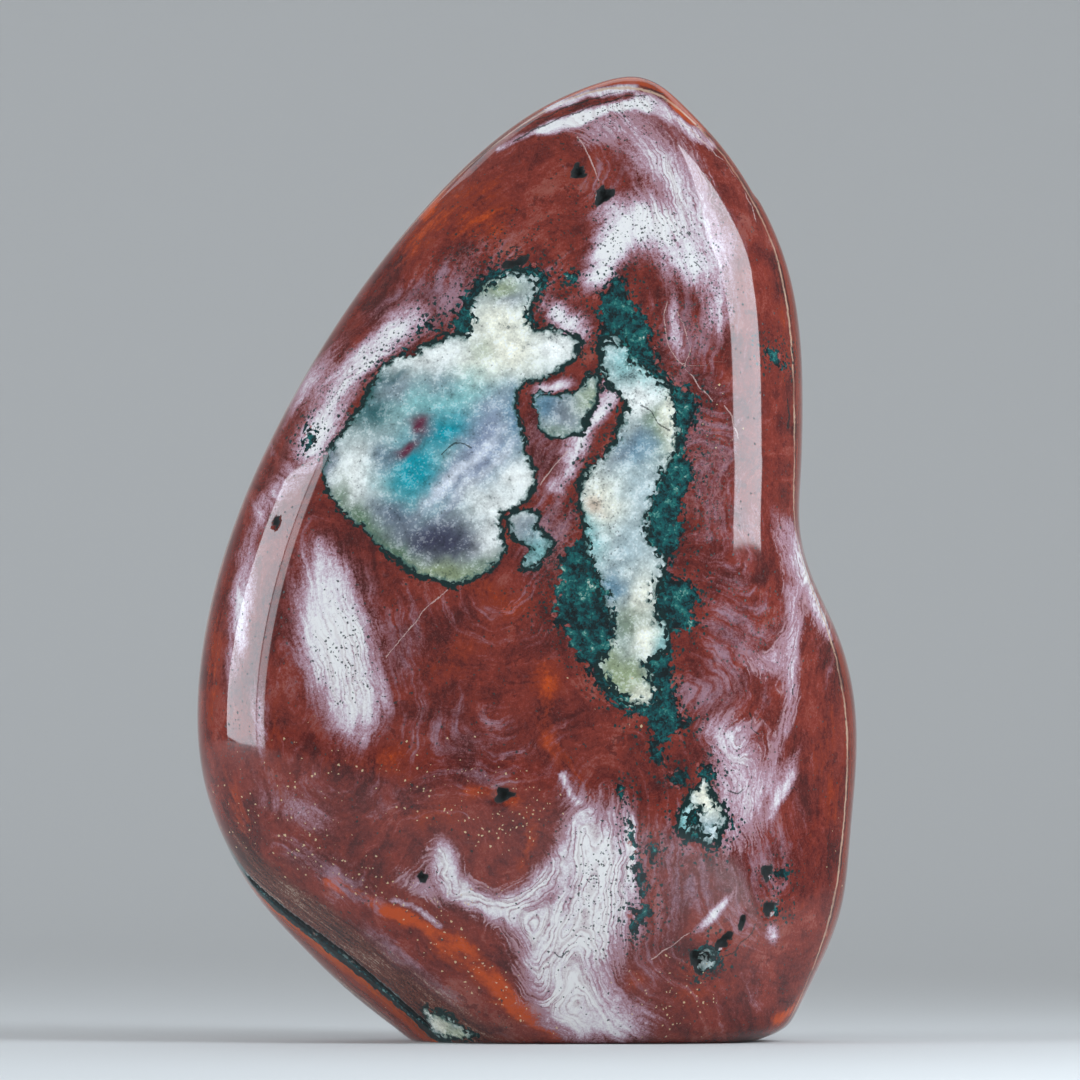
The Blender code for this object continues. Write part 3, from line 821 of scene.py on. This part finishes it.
class Bench:
    """Lays out the nodes of one tree. What is fed to an input is a value or another node's output."""

    def __init__(self, tree):
        self.tree = tree

    def add(self, kind, settings=None, inputs=None):
        node = self.tree.nodes.new(kind)
        for name, value in (settings or {}).items():
            setattr(node, name, value)
        for name, value in (inputs or {}).items():
            self.feed(node.inputs[name], value)
        return node

    def feed(self, socket, value):
        if isinstance(value, bpy.types.NodeSocket):
            self.tree.links.new(value, socket)
        else:
            socket.default_value = value

    def math(self, operation, *values):
        return self.add("ShaderNodeMath", {"operation": operation}, dict(enumerate(values))).outputs[0]

    def times(self, *values):
        product = values[0]
        for value in values[1:]:
            product = self.math("MULTIPLY", product, value)
        return product

    def shaken(self, value, texture, amount):
        """The value, moved up and down by a texture whose middle is 0.5."""
        return self.math("MULTIPLY_ADD", self.math("SUBTRACT", texture, 0.5), amount, value)

    def step(self, value, low, high, start=0.0, end=1.0):
        inputs = {"Value": value, "From Min": low, "From Max": high, "To Min": start, "To Max": end}
        return self.add("ShaderNodeMapRange", {"interpolation_type": "SMOOTHSTEP"}, inputs).outputs["Result"]

    def between(self, value, low, full, still, high):
        return self.times(self.step(value, low, full), self.step(value, still, high, 1.0, 0.0))

    def blend(self, share, under, over):
        inputs = {0: share, 6: under, 7: over}
        return self.add("ShaderNodeMix", {"data_type": "RGBA"}, inputs).outputs[2]

    def noise(self, place, scale, detail=2.0, roughness=0.55):
        inputs = {"Vector": place, "Scale": scale, "Detail": detail, "Roughness": roughness}
        return self.add("ShaderNodeTexNoise", None, inputs).outputs

    def cells(self, place, scale, feature="F1"):
        inputs = {"Vector": place, "Scale": scale}
        return self.add("ShaderNodeTexVoronoi", {"feature": feature}, inputs).outputs

    def moved(self, place, by, reach):
        """A place moved by a colour texture."""
        inputs = {0: by, 1: (reach, reach, reach), 2: place}
        return self.add("ShaderNodeVectorMath", {"operation": "MULTIPLY_ADD"}, inputs).outputs[0]

    def parts(self, colour):
        return self.add("ShaderNodeSeparateColor", None, {"Color": colour}).outputs

    def ramp(self, value, stops):
        node = self.add("ShaderNodeValToRGB", None, {"Fac": value})
        elements = node.color_ramp.elements
        while len(elements) < len(stops):
            elements.new(1.0)
        for element, (at, colour) in zip(elements, stops):
            element.position = at
            element.color = (*colour, 1)
        return node.outputs["Color"]

    def mark(self, name):
        return self.add("ShaderNodeAttribute", {"attribute_name": name}).outputs["Fac"]

    def group(self, tree, inputs):
        return self.add("ShaderNodeGroup", {"node_tree": tree}, inputs).outputs[0]


def new_group(name, inputs, output):
    """An empty node group, with one output and inputs that are FLOAT or VECTOR."""
    kinds = {"FLOAT": "NodeSocketFloat", "VECTOR": "NodeSocketVector"}
    tree = bpy.data.node_groups.new(name, "ShaderNodeTree")
    for label, kind in inputs.items():
        tree.interface.new_socket(label, in_out="INPUT", socket_type=kinds[kind])
    tree.interface.new_socket(output, in_out="OUTPUT", socket_type=kinds["FLOAT"])
    bench = Bench(tree)
    return bench, bench.add("NodeGroupInput").outputs, bench.add("NodeGroupOutput").inputs[0]


def ragged_group():
    """Roughens a distance, so that an outline drawn from it is ragged, with loose crumbs beside it."""
    inputs = {"Place": "VECTOR", "Distance": "FLOAT", "Waves": "FLOAT", "Crumbs": "FLOAT"}
    bench, given, result = new_group("ragged_edge", inputs, "Distance")
    waves = bench.noise(given["Place"], 0.5, 3.0, 0.6)
    crumbled = bench.moved(given["Place"], waves["Color"], 1.2)
    crumbs = bench.parts(bench.cells(crumbled, 1.25)["Color"])
    waved = bench.shaken(given["Distance"], waves["Fac"], given["Waves"])
    bench.feed(result, bench.shaken(waved, crumbs["Red"], given["Crumbs"]))
    return bench.tree


def pinhole_group():
    """Small irregular dots. A share of the cells has one."""
    inputs = {"Place": "VECTOR", "Per Millimetre": "FLOAT", "Size": "FLOAT", "Share": "FLOAT"}
    bench, given, result = new_group("pinholes", inputs, "Mask")
    shaken = bench.moved(given["Place"], bench.noise(given["Place"], 2.2, 1.0)["Color"], 0.55)
    cells = bench.cells(shaken, given["Per Millimetre"])
    chance = bench.parts(cells["Color"])
    size = bench.times(given["Size"], bench.math("ADD", chance["Green"], 0.35))
    dot = bench.step(cells["Distance"], bench.times(size, 0.7), size, 1.0, 0.0)
    bench.feed(result, bench.times(dot, bench.math("LESS_THAN", chance["Red"], given["Share"])))
    return bench.tree


def level_line_group():
    """Thin lines at even steps of a value: 1 on a line, and 0 between the lines."""
    inputs = {"Value": "FLOAT", "Step": "FLOAT", "Width": "FLOAT"}
    bench, given, result = new_group("level_lines", inputs, "Mask")
    phase = bench.math("FRACT", bench.math("DIVIDE", given["Value"], given["Step"]))
    off = bench.math("ABSOLUTE", bench.math("SUBTRACT", phase, 0.5))
    bench.feed(result, bench.step(off, 0.0, given["Width"], 1.0, 0.0))
    return bench.tree


BRICK_TONES = [
    (0.20, (0.060, 0.006, 0.005)), (0.38, (0.125, 0.013, 0.009)), (0.50, (0.168, 0.020, 0.012)),
    (0.62, (0.218, 0.025, 0.014)), (0.82, (0.290, 0.075, 0.056)),
]
MAUVE_TONES = [
    (0.24, (0.080, 0.016, 0.019)), (0.42, (0.145, 0.042, 0.048)), (0.56, (0.195, 0.080, 0.099)),
    (0.80, (0.320, 0.180, 0.225)),
]
EMBER_TONES = [(0.15, (0.175, 0.018, 0.009)), (0.60, (0.235, 0.026, 0.008)), (1.00, (0.510, 0.062, 0.003))]
CLOUD_AND_SHEEN_TONES = [
    (0.18, (0.190, 0.050, 0.052)), (0.36, (0.290, 0.125, 0.145)), (0.52, (0.440, 0.270, 0.325)),
    (0.66, (0.600, 0.480, 0.540)), (0.80, (0.730, 0.680, 0.700)), (0.95, (0.830, 0.800, 0.785)),
]
MOSS_TONES = [
    (0.30, (0.000, 0.006, 0.008)), (0.44, (0.000, 0.024, 0.028)), (0.60, (0.001, 0.070, 0.075)),
    (0.74, (0.006, 0.130, 0.120)), (0.84, (0.080, 0.250, 0.210)), (0.93, (0.480, 0.560, 0.480)),
]
SEAM_TONES = [(0.44, (0.001, 0.003, 0.004)), (0.62, (0.003, 0.040, 0.046)), (0.82, (0.130, 0.250, 0.240))]
SCREE_TONES = [
    (0.32, (0.012, 0.010, 0.012)), (0.46, (0.080, 0.024, 0.018)), (0.60, (0.150, 0.055, 0.040)),
    (0.74, (0.360, 0.260, 0.200)),
]
# Painted shade for the pits and the seam groove: near black with a little dark green.
RECESS_SHADE_TONES = [(0.46, (0.001, 0.002, 0.002)), (0.66, (0.002, 0.010, 0.010)), (0.84, (0.060, 0.110, 0.095))]
DEEP_RED = (0.085, 0.008, 0.006, 1)
DEEP_GREEN = (0.002, 0.030, 0.030, 1)
# Cream of the line in front of the seam, partly a painted rim reflection along the left rim.
CREAM_LINE_AND_RIM_SHEEN = (0.560, 0.380, 0.270, 1)
PALE_HAIR = (0.560, 0.380, 0.350, 1)
PORE_BLACK = (0.006, 0.014, 0.014, 1)
GOLD_SPECK = (0.680, 0.500, 0.290, 1)
LACE_PINK = (0.400, 0.180, 0.180, 1)
FOLD_DARK = (0.300, 0.140, 0.175, 1)
FOLD_LIGHT = (0.480, 0.290, 0.320, 1)
WHITE_SCREE = (0.660, 0.640, 0.620, 1)
SUGAR_WHITE_AND_GLINT = (0.840, 0.860, 0.840, 1)

# The layers behind the face: how far behind the seam in mm, and the colour there.
LAYERS = [
    (0.0, (0.380, 0.044, 0.006)), (2.5, (0.500, 0.075, 0.005)), (5.0, (0.270, 0.030, 0.009)),
    (6.2, (0.120, 0.014, 0.010)), (7.2, (0.230, 0.040, 0.024)), (9.0, (0.150, 0.020, 0.014)),
    (9.6, (0.400, 0.280, 0.200)), (10.2, (0.150, 0.020, 0.014)), (12.6, (0.210, 0.044, 0.036)),
    (13.4, (0.330, 0.170, 0.190)), (14.2, (0.170, 0.030, 0.022)), (17.0, (0.200, 0.036, 0.026)),
    (18.0, (0.300, 0.130, 0.150)), (19.0, (0.160, 0.024, 0.018)), (22.0, (0.160, 0.022, 0.014)),
]


class Jasper:
    """The polished stone. Each step lays one kind of pattern over the colour so far."""

    def __init__(self):
        self.material = bpy.data.materials.new("polished_jasper")
        self.material.use_nodes = True
        self.bench = bench = Bench(self.material.node_tree)
        self.ragged = ragged_group()
        self.pinholes = pinhole_group()
        self.level_lines = level_line_group()

        at = bench.add("ShaderNodeTexCoord").outputs["Object"]
        self.place = bench.add("ShaderNodeVectorMath", {"operation": "SCALE"}, {0: at, "Scale": 1 / MM}).outputs[0]
        self.split = bench.add("ShaderNodeSeparateXYZ", None, {"Vector": self.place}).outputs
        self.swirl = bench.moved(self.place, bench.noise(self.place, 0.06, 3.0)["Color"], 18.0)
        waved = bench.shaken(bench.mark("bands"), bench.noise(self.swirl, 0.09, 1.0)["Fac"], 3.6)
        self.fold = bench.shaken(waved, bench.noise(self.place, 0.42, 2.0)["Fac"], 1.5)
        self.slow = bench.noise(self.swirl, 0.11, 4.0, 0.6)["Fac"]
        self.streaks = self.drawn_out(self.fold, 0.75)
        self.laid = self.drawn_out(bench.mark("seam"), 0.85)
        self.fine = bench.noise(self.place, 1.5, 3.0, 0.7)["Fac"]
        self.grit = bench.noise(self.place, 3.2, 1.0)["Fac"]
        self.crumpled = bench.moved(self.place, bench.noise(self.place, 0.9, 2.0)["Color"], 1.8)

    def drawn_out(self, value, fineness):
        """Noise that is drawn out along the level lines of a value."""
        bench = self.bench
        run = {"X": value, "Y": bench.times(self.split["X"], 0.12), "Z": bench.times(self.split["Z"], 0.12)}
        run = bench.add("ShaderNodeCombineXYZ", None, run).outputs[0]
        return bench.noise(run, fineness, 4.0, 0.65)["Fac"]

    def loosened(self, name, streaks, fine, low, high):
        """A soft mark, broken up by the stone's streaks and grain."""
        bench = self.bench
        value = bench.shaken(bench.shaken(bench.mark(name), self.streaks, streaks), self.fine, fine)
        return bench.step(value, low, high)

    def dots(self, per_millimetre, size, share):
        inputs = {"Place": self.place, "Per Millimetre": per_millimetre, "Size": size, "Share": share}
        return self.bench.group(self.pinholes, inputs)

    def lines(self, value, step, width):
        return self.bench.group(self.level_lines, {"Value": value, "Step": step, "Width": width})

    def edge(self, name, waves, crumbs):
        inputs = {"Place": self.place, "Distance": self.bench.mark(name), "Waves": waves, "Crumbs": crumbs}
        return self.bench.group(self.ragged, inputs)

    def ground(self):
        """Brick red, with mauve parts and glowing red to orange ones, and fine contour lines."""
        bench = self.bench
        tone = bench.shaken(bench.math("MULTIPLY_ADD", self.slow, 1.5, -0.25), self.streaks, 0.8)
        tone = bench.shaken(bench.shaken(tone, self.fine, 0.45), self.grit, 0.35)
        colour = bench.ramp(tone, BRICK_TONES)
        blots = bench.noise(self.crumpled, 0.40, 3.0, 0.6)["Fac"]
        colour = bench.blend(bench.step(blots, 0.60, 0.64, 0.0, 0.7), colour, DEEP_RED)
        ember = bench.shaken(bench.shaken(bench.mark("ember"), self.streaks, 0.8), self.slow, 0.9)
        ember = bench.shaken(bench.shaken(ember, self.fine, 0.8), self.laid, 1.6)
        colour = bench.blend(bench.step(ember, 0.2, 0.6), colour, bench.ramp(ember, EMBER_TONES))
        mauve = self.loosened("mauve", 2.2, 0.5, 0.3, 1.0)
        colour = bench.blend(mauve, colour, bench.ramp(tone, MAUVE_TONES))
        contours = self.lines(bench.noise(self.swirl, 0.13, 3.0)["Fac"], 0.026, 0.24)
        contours = bench.times(contours, bench.step(self.fine, 0.35, 0.6), bench.step(mauve, 0.0, 0.7, 0.10, 0.50))
        return bench.blend(contours, colour, LACE_PINK)

    def lace(self, colour):
        """Thin pinkish cell walls."""
        bench = self.bench
        walls = bench.cells(self.crumpled, 0.5, "DISTANCE_TO_EDGE")["Distance"]
        lace = bench.times(bench.step(walls, 0.0, 0.12, 0.35, 0.0), self.loosened("lace", 1.4, 0.4, 0.35, 0.9))
        return bench.blend(lace, colour, LACE_PINK)

    def clouds(self, colour):
        """Bleached clouds, mauve at the edge and white in the middle, with agate bands along the folds. A few spots
        of the mark are painted sheen and highlight, drawn in the same tones.
        """
        bench = self.bench
        mark = bench.mark("bleach_and_sheen")
        brushed = bench.shaken(bench.shaken(self.streaks, self.fine, 0.5), self.grit, 0.35)
        share = bench.step(mark, 0.0, 0.5, 0.3, 1.1)
        cloud_and_sheen = bench.math("MULTIPLY_ADD", bench.math("SUBTRACT", brushed, 0.5), share, mark)
        colour = bench.blend(bench.step(cloud_and_sheen, 0.10, 0.40), colour, bench.ramp(cloud_and_sheen, CLOUD_AND_SHEEN_TONES))
        banded = bench.times(bench.mark("banded"), bench.step(cloud_and_sheen, 0.05, 0.35))
        banded = bench.times(bench.step(banded, 0.1, 0.6), bench.step(cloud_and_sheen, 0.7, 1.0, 1.0, 0.45))
        strength = bench.step(bench.noise(self.place, 0.30, 1.0)["Fac"], 0.3, 0.6, 0.15, 1.0)
        thin = bench.times(self.lines(self.fold, 0.80, 0.28), strength)
        broad = bench.times(self.lines(bench.math("ADD", self.fold, 0.4), 2.9, 0.14), 0.6)
        lines = bench.times(bench.math("MAXIMUM", thin, broad), banded)
        tint = bench.blend(bench.step(cloud_and_sheen, 0.3, 0.55), FOLD_LIGHT, FOLD_DARK)
        return bench.blend(lines, colour, tint)

    def line(self, name, half_width, colour, tint):
        """A fine line of uneven width."""
        bench = self.bench
        off = bench.math("ABSOLUTE", bench.shaken(bench.mark(name), self.grit, 0.35))
        off = bench.shaken(off, self.streaks, 0.4)
        line = bench.step(off, half_width, half_width + 0.12, 1.0, 0.0)
        on_face = bench.step(bench.mark("seam"), -1.6, -0.8, 1.0, 0.0)
        line = bench.times(line, bench.step(bench.mark("beside_" + name), 0.5, 0.8), on_face)
        return bench.blend(bench.times(line, 0.8), colour, tint)

    def pale_lines(self, colour):
        return self.line("pale_line", 0.02, colour, PALE_HAIR)

    def dark_lines(self, colour):
        return self.line("dark_line", 0.06, colour, PORE_BLACK)

    def layers(self, colour):
        """The layers behind the face, with the pale and dark lines at the seam and the rubble beside it. Where the
        seam runs along the left rim, the pale line there is partly a painted rim reflection.
        """
        bench = self.bench
        x, z = self.split["X"], self.split["Z"]
        low = bench.times(bench.step(z, 34.0, 42.0, 1.0, 0.0), bench.step(x, -12.0, 4.0, 1.0, 0.0))
        seam = self.edge("seam", bench.math("MULTIPLY_ADD", low, 1.8, 0.7), 0.12)
        deepest = LAYERS[-1][0]
        drifting = bench.math("MAXIMUM", bench.shaken(bench.shaken(seam, self.laid, 4.0), self.slow, 4.0), 0.0)
        depth = bench.add("ShaderNodeMapRange", None, {"Value": drifting, "From Max": deepest}).outputs["Result"]
        behind = bench.ramp(depth, [(at / deepest, tint) for at, tint in LAYERS])
        brick = bench.times(bench.step(x, 30.0, 44.0), bench.step(seam, 4.0, 7.0, 0.85, 0.0))
        behind = bench.blend(brick, behind, (0.200, 0.040, 0.028, 1))
        behind = bench.blend(bench.step(self.laid, 0.46, 0.66, 0.0, 0.75), behind, (0.090, 0.010, 0.006, 1))
        grain = bench.shaken(self.fine, self.laid, 1.2)
        behind = bench.blend(bench.step(grain, 0.58, 0.80, 0.0, 0.5), behind, (0.330, 0.120, 0.090, 1))
        layered = bench.times(bench.between(seam, 0.2, 0.7, 12.0, 20.0), bench.step(self.slow, 0.3, 0.6, 1.0, 0.75))
        colour = bench.blend(layered, colour, behind)

        rubble = bench.shaken(bench.shaken(self.laid, self.fine, 0.5), self.grit, 0.4)
        near = bench.shaken(bench.shaken(seam, self.streaks, 6.0), self.fine, 4.0)
        band = bench.times(low, bench.between(near, -12.0, -8.0, 0.0, 0.4), 0.9)
        colour = bench.blend(band, colour, bench.ramp(rubble, SCREE_TONES))
        uneven = bench.step(self.laid, 0.36, 0.56, 0.25, 0.85)
        # A cream line just in front of the seam: a pale stratum, and where it runs along the left rim, partly a
        # painted rim reflection.
        cream = bench.times(bench.between(seam, -0.8, -0.5, -0.3, 0.0), uneven)
        colour = bench.blend(cream, colour, CREAM_LINE_AND_RIM_SHEEN)
        teal = bench.times(bench.between(bench.shaken(seam, self.fine, 2.0), -1.3, -0.8, -0.3, 0.2), low, 0.8)
        colour = bench.blend(teal, colour, (0.030, 0.140, 0.150, 1))
        width = bench.math("MULTIPLY_ADD", low, 2.0, 0.2)
        inner = bench.step(bench.math("SUBTRACT", seam, width), 0.0, 0.4, 1.0, 0.0)
        dark = bench.times(bench.step(seam, -0.2, 0.1), inner, bench.math("MULTIPLY_ADD", low, 0.75, 0.25))
        return bench.blend(dark, colour, bench.ramp(bench.shaken(rubble, self.fine, 0.6), SEAM_TONES))

    def moss(self, colour):
        """Dark green masses with pale grains, darkest at the edge, and loose crumbs round them."""
        bench = self.bench
        edge = self.edge("moss", 1.6, 1.7)
        grains = bench.parts(bench.cells(self.crumpled, 2.4)["Color"])["Red"]
        clumps = bench.noise(self.place, 0.45, 3.0, 0.6)["Fac"]
        tone = bench.math("MULTIPLY_ADD", grains, 0.26, bench.math("MULTIPLY_ADD", clumps, 1.3, -0.26))
        tone = bench.math("ADD", bench.shaken(tone, self.grit, 0.2), bench.step(edge, 0.0, 1.2, -0.16, 0.04))
        colour = bench.blend(bench.step(edge, -0.1, 0.1), colour, bench.ramp(tone, MOSS_TONES))
        crumbs = self.dots(1.3, 0.42, bench.between(bench.mark("moss"), -4.5, -0.6, 0.2, 0.6))
        colour = bench.blend(bench.times(crumbs, 0.95), colour, DEEP_GREEN)
        warm = bench.times(self.dots(0.8, 0.5, 0.22), bench.between(edge, -0.8, -0.3, 0.4, 0.9), 0.8)
        return bench.blend(warm, colour, (0.360, 0.090, 0.080, 1))

    def hollows(self, colour):
        """Hollows filled with pale crystal in lumps and grains, inside a dark green rim. The lumps carry painted
        shading, lighter in the middle and darker at the edge, with painted shade in the gaps between them, and the
        whitest grains are partly painted glints.
        """
        bench = self.bench
        crumbs = bench.step(bench.mark("moss"), 0.0, 2.0, 0.8, 2.0)
        inside = self.edge("hollow", 1.8, crumbs)
        tint = bench.add("ShaderNodeAttribute", {"attribute_name": "crystal"}).outputs["Color"]
        lumps = bench.cells(self.crumpled, 0.55)
        grains = bench.parts(bench.cells(bench.moved(self.place, self.crumpled, 0.08), 3.0)["Color"])
        drift = bench.noise(self.place, 0.38, 3.0, 0.6)["Fac"]
        sugar_and_shading = bench.math("MULTIPLY_ADD", bench.parts(lumps["Color"])["Green"], 0.22, 0.53)
        # Painted shading: each lump grows darker towards its edge.
        sugar_and_shading = bench.shaken(bench.shaken(sugar_and_shading, lumps["Distance"], -0.38), drift, 1.4)
        sugar_and_shading = bench.shaken(bench.shaken(sugar_and_shading, self.fine, 0.45), grains["Green"], 0.26)
        # The crystal's tint, painted lit and shaded by that value.
        light = bench.math("MULTIPLY_ADD", sugar_and_shading, 0.9, 0.42)
        lit = {"Color": tint, "Value": light, "Saturation": 1.12}
        lit = bench.add("ShaderNodeHueSaturation", None, lit).outputs[0]
        paleness = bench.parts(tint)["Red"]
        # Painted shade in the gaps between the lumps, in a dark green.
        gaps = bench.step(sugar_and_shading, 0.06, 0.34, bench.math("MULTIPLY_ADD", paleness, 0.6, 0.2), 0.0)
        dark = bench.blend(gaps, lit, (0.008, 0.045, 0.052, 1))
        # The whitest grains: white crystal, partly painted as glints.
        glint = bench.shaken(sugar_and_shading, grains["Red"], 0.55)
        shine = bench.step(glint, 0.76, 1.0, 0.0, bench.math("MULTIPLY_ADD", paleness, 0.75, 0.10))
        crystal = bench.blend(shine, dark, SUGAR_WHITE_AND_GLINT)
        lining = bench.step(bench.shaken(inside, self.fine, 1.4), 0.2, 1.0, 0.75, 0.0)
        crystal = bench.blend(lining, crystal, (0.020, 0.100, 0.090, 1))
        rim = bench.step(bench.shaken(inside, self.slow, 3.4), -0.75, -0.45)
        colour = bench.blend(rim, colour, (0.001, 0.018, 0.018, 1))
        self.in_hollow = bench.step(inside, 0.1, 0.4)
        return bench.blend(self.in_hollow, colour, crystal)

    def pores(self, colour):
        """Black pinholes, gold specks, and painted shade in the open pits and the seam groove. Also works out how
        dull the polish is in them.
        """
        bench = self.bench
        share = bench.step(bench.shaken(bench.mark("pepper"), self.slow, 0.9), 0.05, 1.05, 0.05, 0.8)
        fine_pores = self.dots(2.2, 0.44, bench.times(share, 0.7))
        wide_pores = self.dots(1.0, 0.24, bench.times(share, 0.8))
        pores = bench.math("MAXIMUM", fine_pores, wide_pores)
        pores = bench.times(pores, bench.step(self.in_hollow, 0.0, 1.0, 0.92, 0.45))
        colour = bench.blend(pores, colour, PORE_BLACK)
        gold = bench.step(bench.mark("gold"), 0.1, 1.0, 0.0, 0.42)
        specks = bench.math("MAXIMUM", self.dots(0.9, 0.20, gold), self.dots(1.6, 0.30, bench.times(gold, 0.6)))
        specks = bench.times(specks, 0.85)
        colour = bench.blend(specks, colour, GOLD_SPECK)
        # Painted shade in the pits and the seam groove, left out where crystal fills a hollow.
        recess_shade = bench.times(bench.step(bench.mark("recess_shade"), 0.15, 0.6), bench.step(self.in_hollow, 0.0, 1.0, 1.0, 0.15))
        colour = bench.blend(recess_shade, colour, bench.ramp(self.fine, RECESS_SHADE_TONES))
        self.dull = bench.math("MAXIMUM", recess_shade, bench.times(pores, 0.5))
        return colour


def polished_jasper():
    stone = Jasper()
    colour = stone.ground()
    patterns = (
        stone.lace, stone.clouds, stone.pale_lines, stone.layers, stone.moss, stone.hollows, stone.dark_lines,
        stone.pores,
    )
    for pattern in patterns:
        colour = pattern(colour)
    shader = stone.material.node_tree.nodes["Principled BSDF"]
    stone.bench.feed(shader.inputs["Base Color"], colour)
    stone.bench.feed(shader.inputs["Roughness"], stone.bench.step(stone.dull, 0.0, 1.0, 0.045, 0.8))
    shader.inputs["IOR"].default_value = 1.54
    return stone.material


# The room: a pale sweep, two tall soft boxes that the polish mirrors, and soft light from above.

def sweep():
    """A floor that curves up into a backdrop."""
    profile = [(-3.0, 0.0), (1.1, 0.0)]
    profile += [(1.1 + 0.7 * math.sin(a), 0.7 - 0.7 * math.cos(a)) for a in np.linspace(0.1, math.pi / 2, 16)]
    profile.append((1.8, 3.2))
    points = [(x, y, z) for y, z in profile for x in (-3.2, 3.2)]
    faces = [(2 * i, 2 * i + 1, 2 * i + 3, 2 * i + 2) for i in range(len(profile) - 1)]
    mesh = bpy.data.meshes.new("sweep")
    mesh.from_pydata(points, [], faces)
    mesh.polygons.foreach_set("use_smooth", np.ones(len(faces), bool))
    floor = bpy.data.objects.new("sweep", mesh)
    bpy.context.collection.objects.link(floor)
    paper = bpy.data.materials.new("pale_paper")
    paper.use_nodes = True
    shader = paper.node_tree.nodes["Principled BSDF"]
    shader.inputs["Base Color"].default_value = (0.66, 0.655, 0.65, 1)
    shader.inputs["Roughness"].default_value = 0.8
    shader.inputs["Specular IOR Level"].default_value = 0.2
    mesh.materials.append(paper)


LIT_PLACE = Vector((0, 0, 0.09))


def soft_box(name, low_end, high_end, width, turn, radiance, aside=0.0):
    """A rectangular light between two ends. It faces the stone, but for its turn about its own length."""
    low_end, high_end = Vector(low_end), Vector(high_end)
    middle = (low_end + high_end) / 2
    up = (high_end - low_end).normalized()
    side = Matrix.Rotation(-turn, 3, up) @ up.cross(middle - LIT_PLACE).normalized()
    middle += aside * side
    light = bpy.data.lights.new(name, "AREA")
    light.shape = "RECTANGLE"
    light.size = width
    light.size_y = (high_end - low_end).length
    light.energy = radiance * math.pi * light.size * light.size_y
    light.color = (0.80, 0.91, 1.0)
    box = bpy.data.objects.new(name, light)
    bpy.context.collection.objects.link(box)
    box.matrix_world = Matrix.Translation(middle) @ Matrix((side, up, side.cross(up))).transposed().to_4x4()


def light_room():
    soft_box("right_box", (0.691, -0.250, 0.165), (0.375, -0.407, 0.580), 0.494, -1.067, 8.4)
    soft_box("left_box", (-0.8438, -0.1705, 0.0), (-0.874, -0.2295, 0.5815), 0.44, -0.331, 7.2)
    soft_box("left_edge_box", (-0.8438, -0.1705, 0.0), (-0.874, -0.2295, 0.5815), 0.07, -0.331, 4.6, 0.265)
    soft_box("top_box", (0, 0.9, 1.9), (0, 2.3, 1.5), 2.8, 0.0, 1.2)
    world = bpy.data.worlds.new("room")
    bpy.context.scene.world = world
    world.use_nodes = True
    background = world.node_tree.nodes["Background"]
    background.inputs["Color"].default_value = (0.96, 0.98, 1, 1)
    background.inputs["Strength"].default_value = 0.36
    bpy.context.scene.view_settings.view_transform = "Standard"


def place_camera():
    data = bpy.data.cameras.new("camera")
    camera = bpy.data.objects.new("camera", data)
    bpy.context.collection.objects.link(camera)
    tilt = math.atan2(AIM_HEIGHT - CAMERA_HEIGHT, CAMERA_DISTANCE)
    focal = PIXELS_PER_MM * math.hypot(CAMERA_DISTANCE, AIM_HEIGHT - CAMERA_HEIGHT)
    data.sensor_width = SENSOR
    data.lens = SENSOR * focal / PICTURE_SIDE
    camera.location = (CAMERA_SIDE * MM, -CAMERA_DISTANCE * MM, CAMERA_HEIGHT * MM)
    camera.rotation_euler = (math.pi / 2 + tilt, 0, 0)
    bpy.context.scene.camera = camera


def main():
    place_camera()
    light_room()
    sweep()
    stone = build_stone()
    stone.data.materials.append(polished_jasper())
    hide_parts("stone")
    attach(stone, "root")


main()
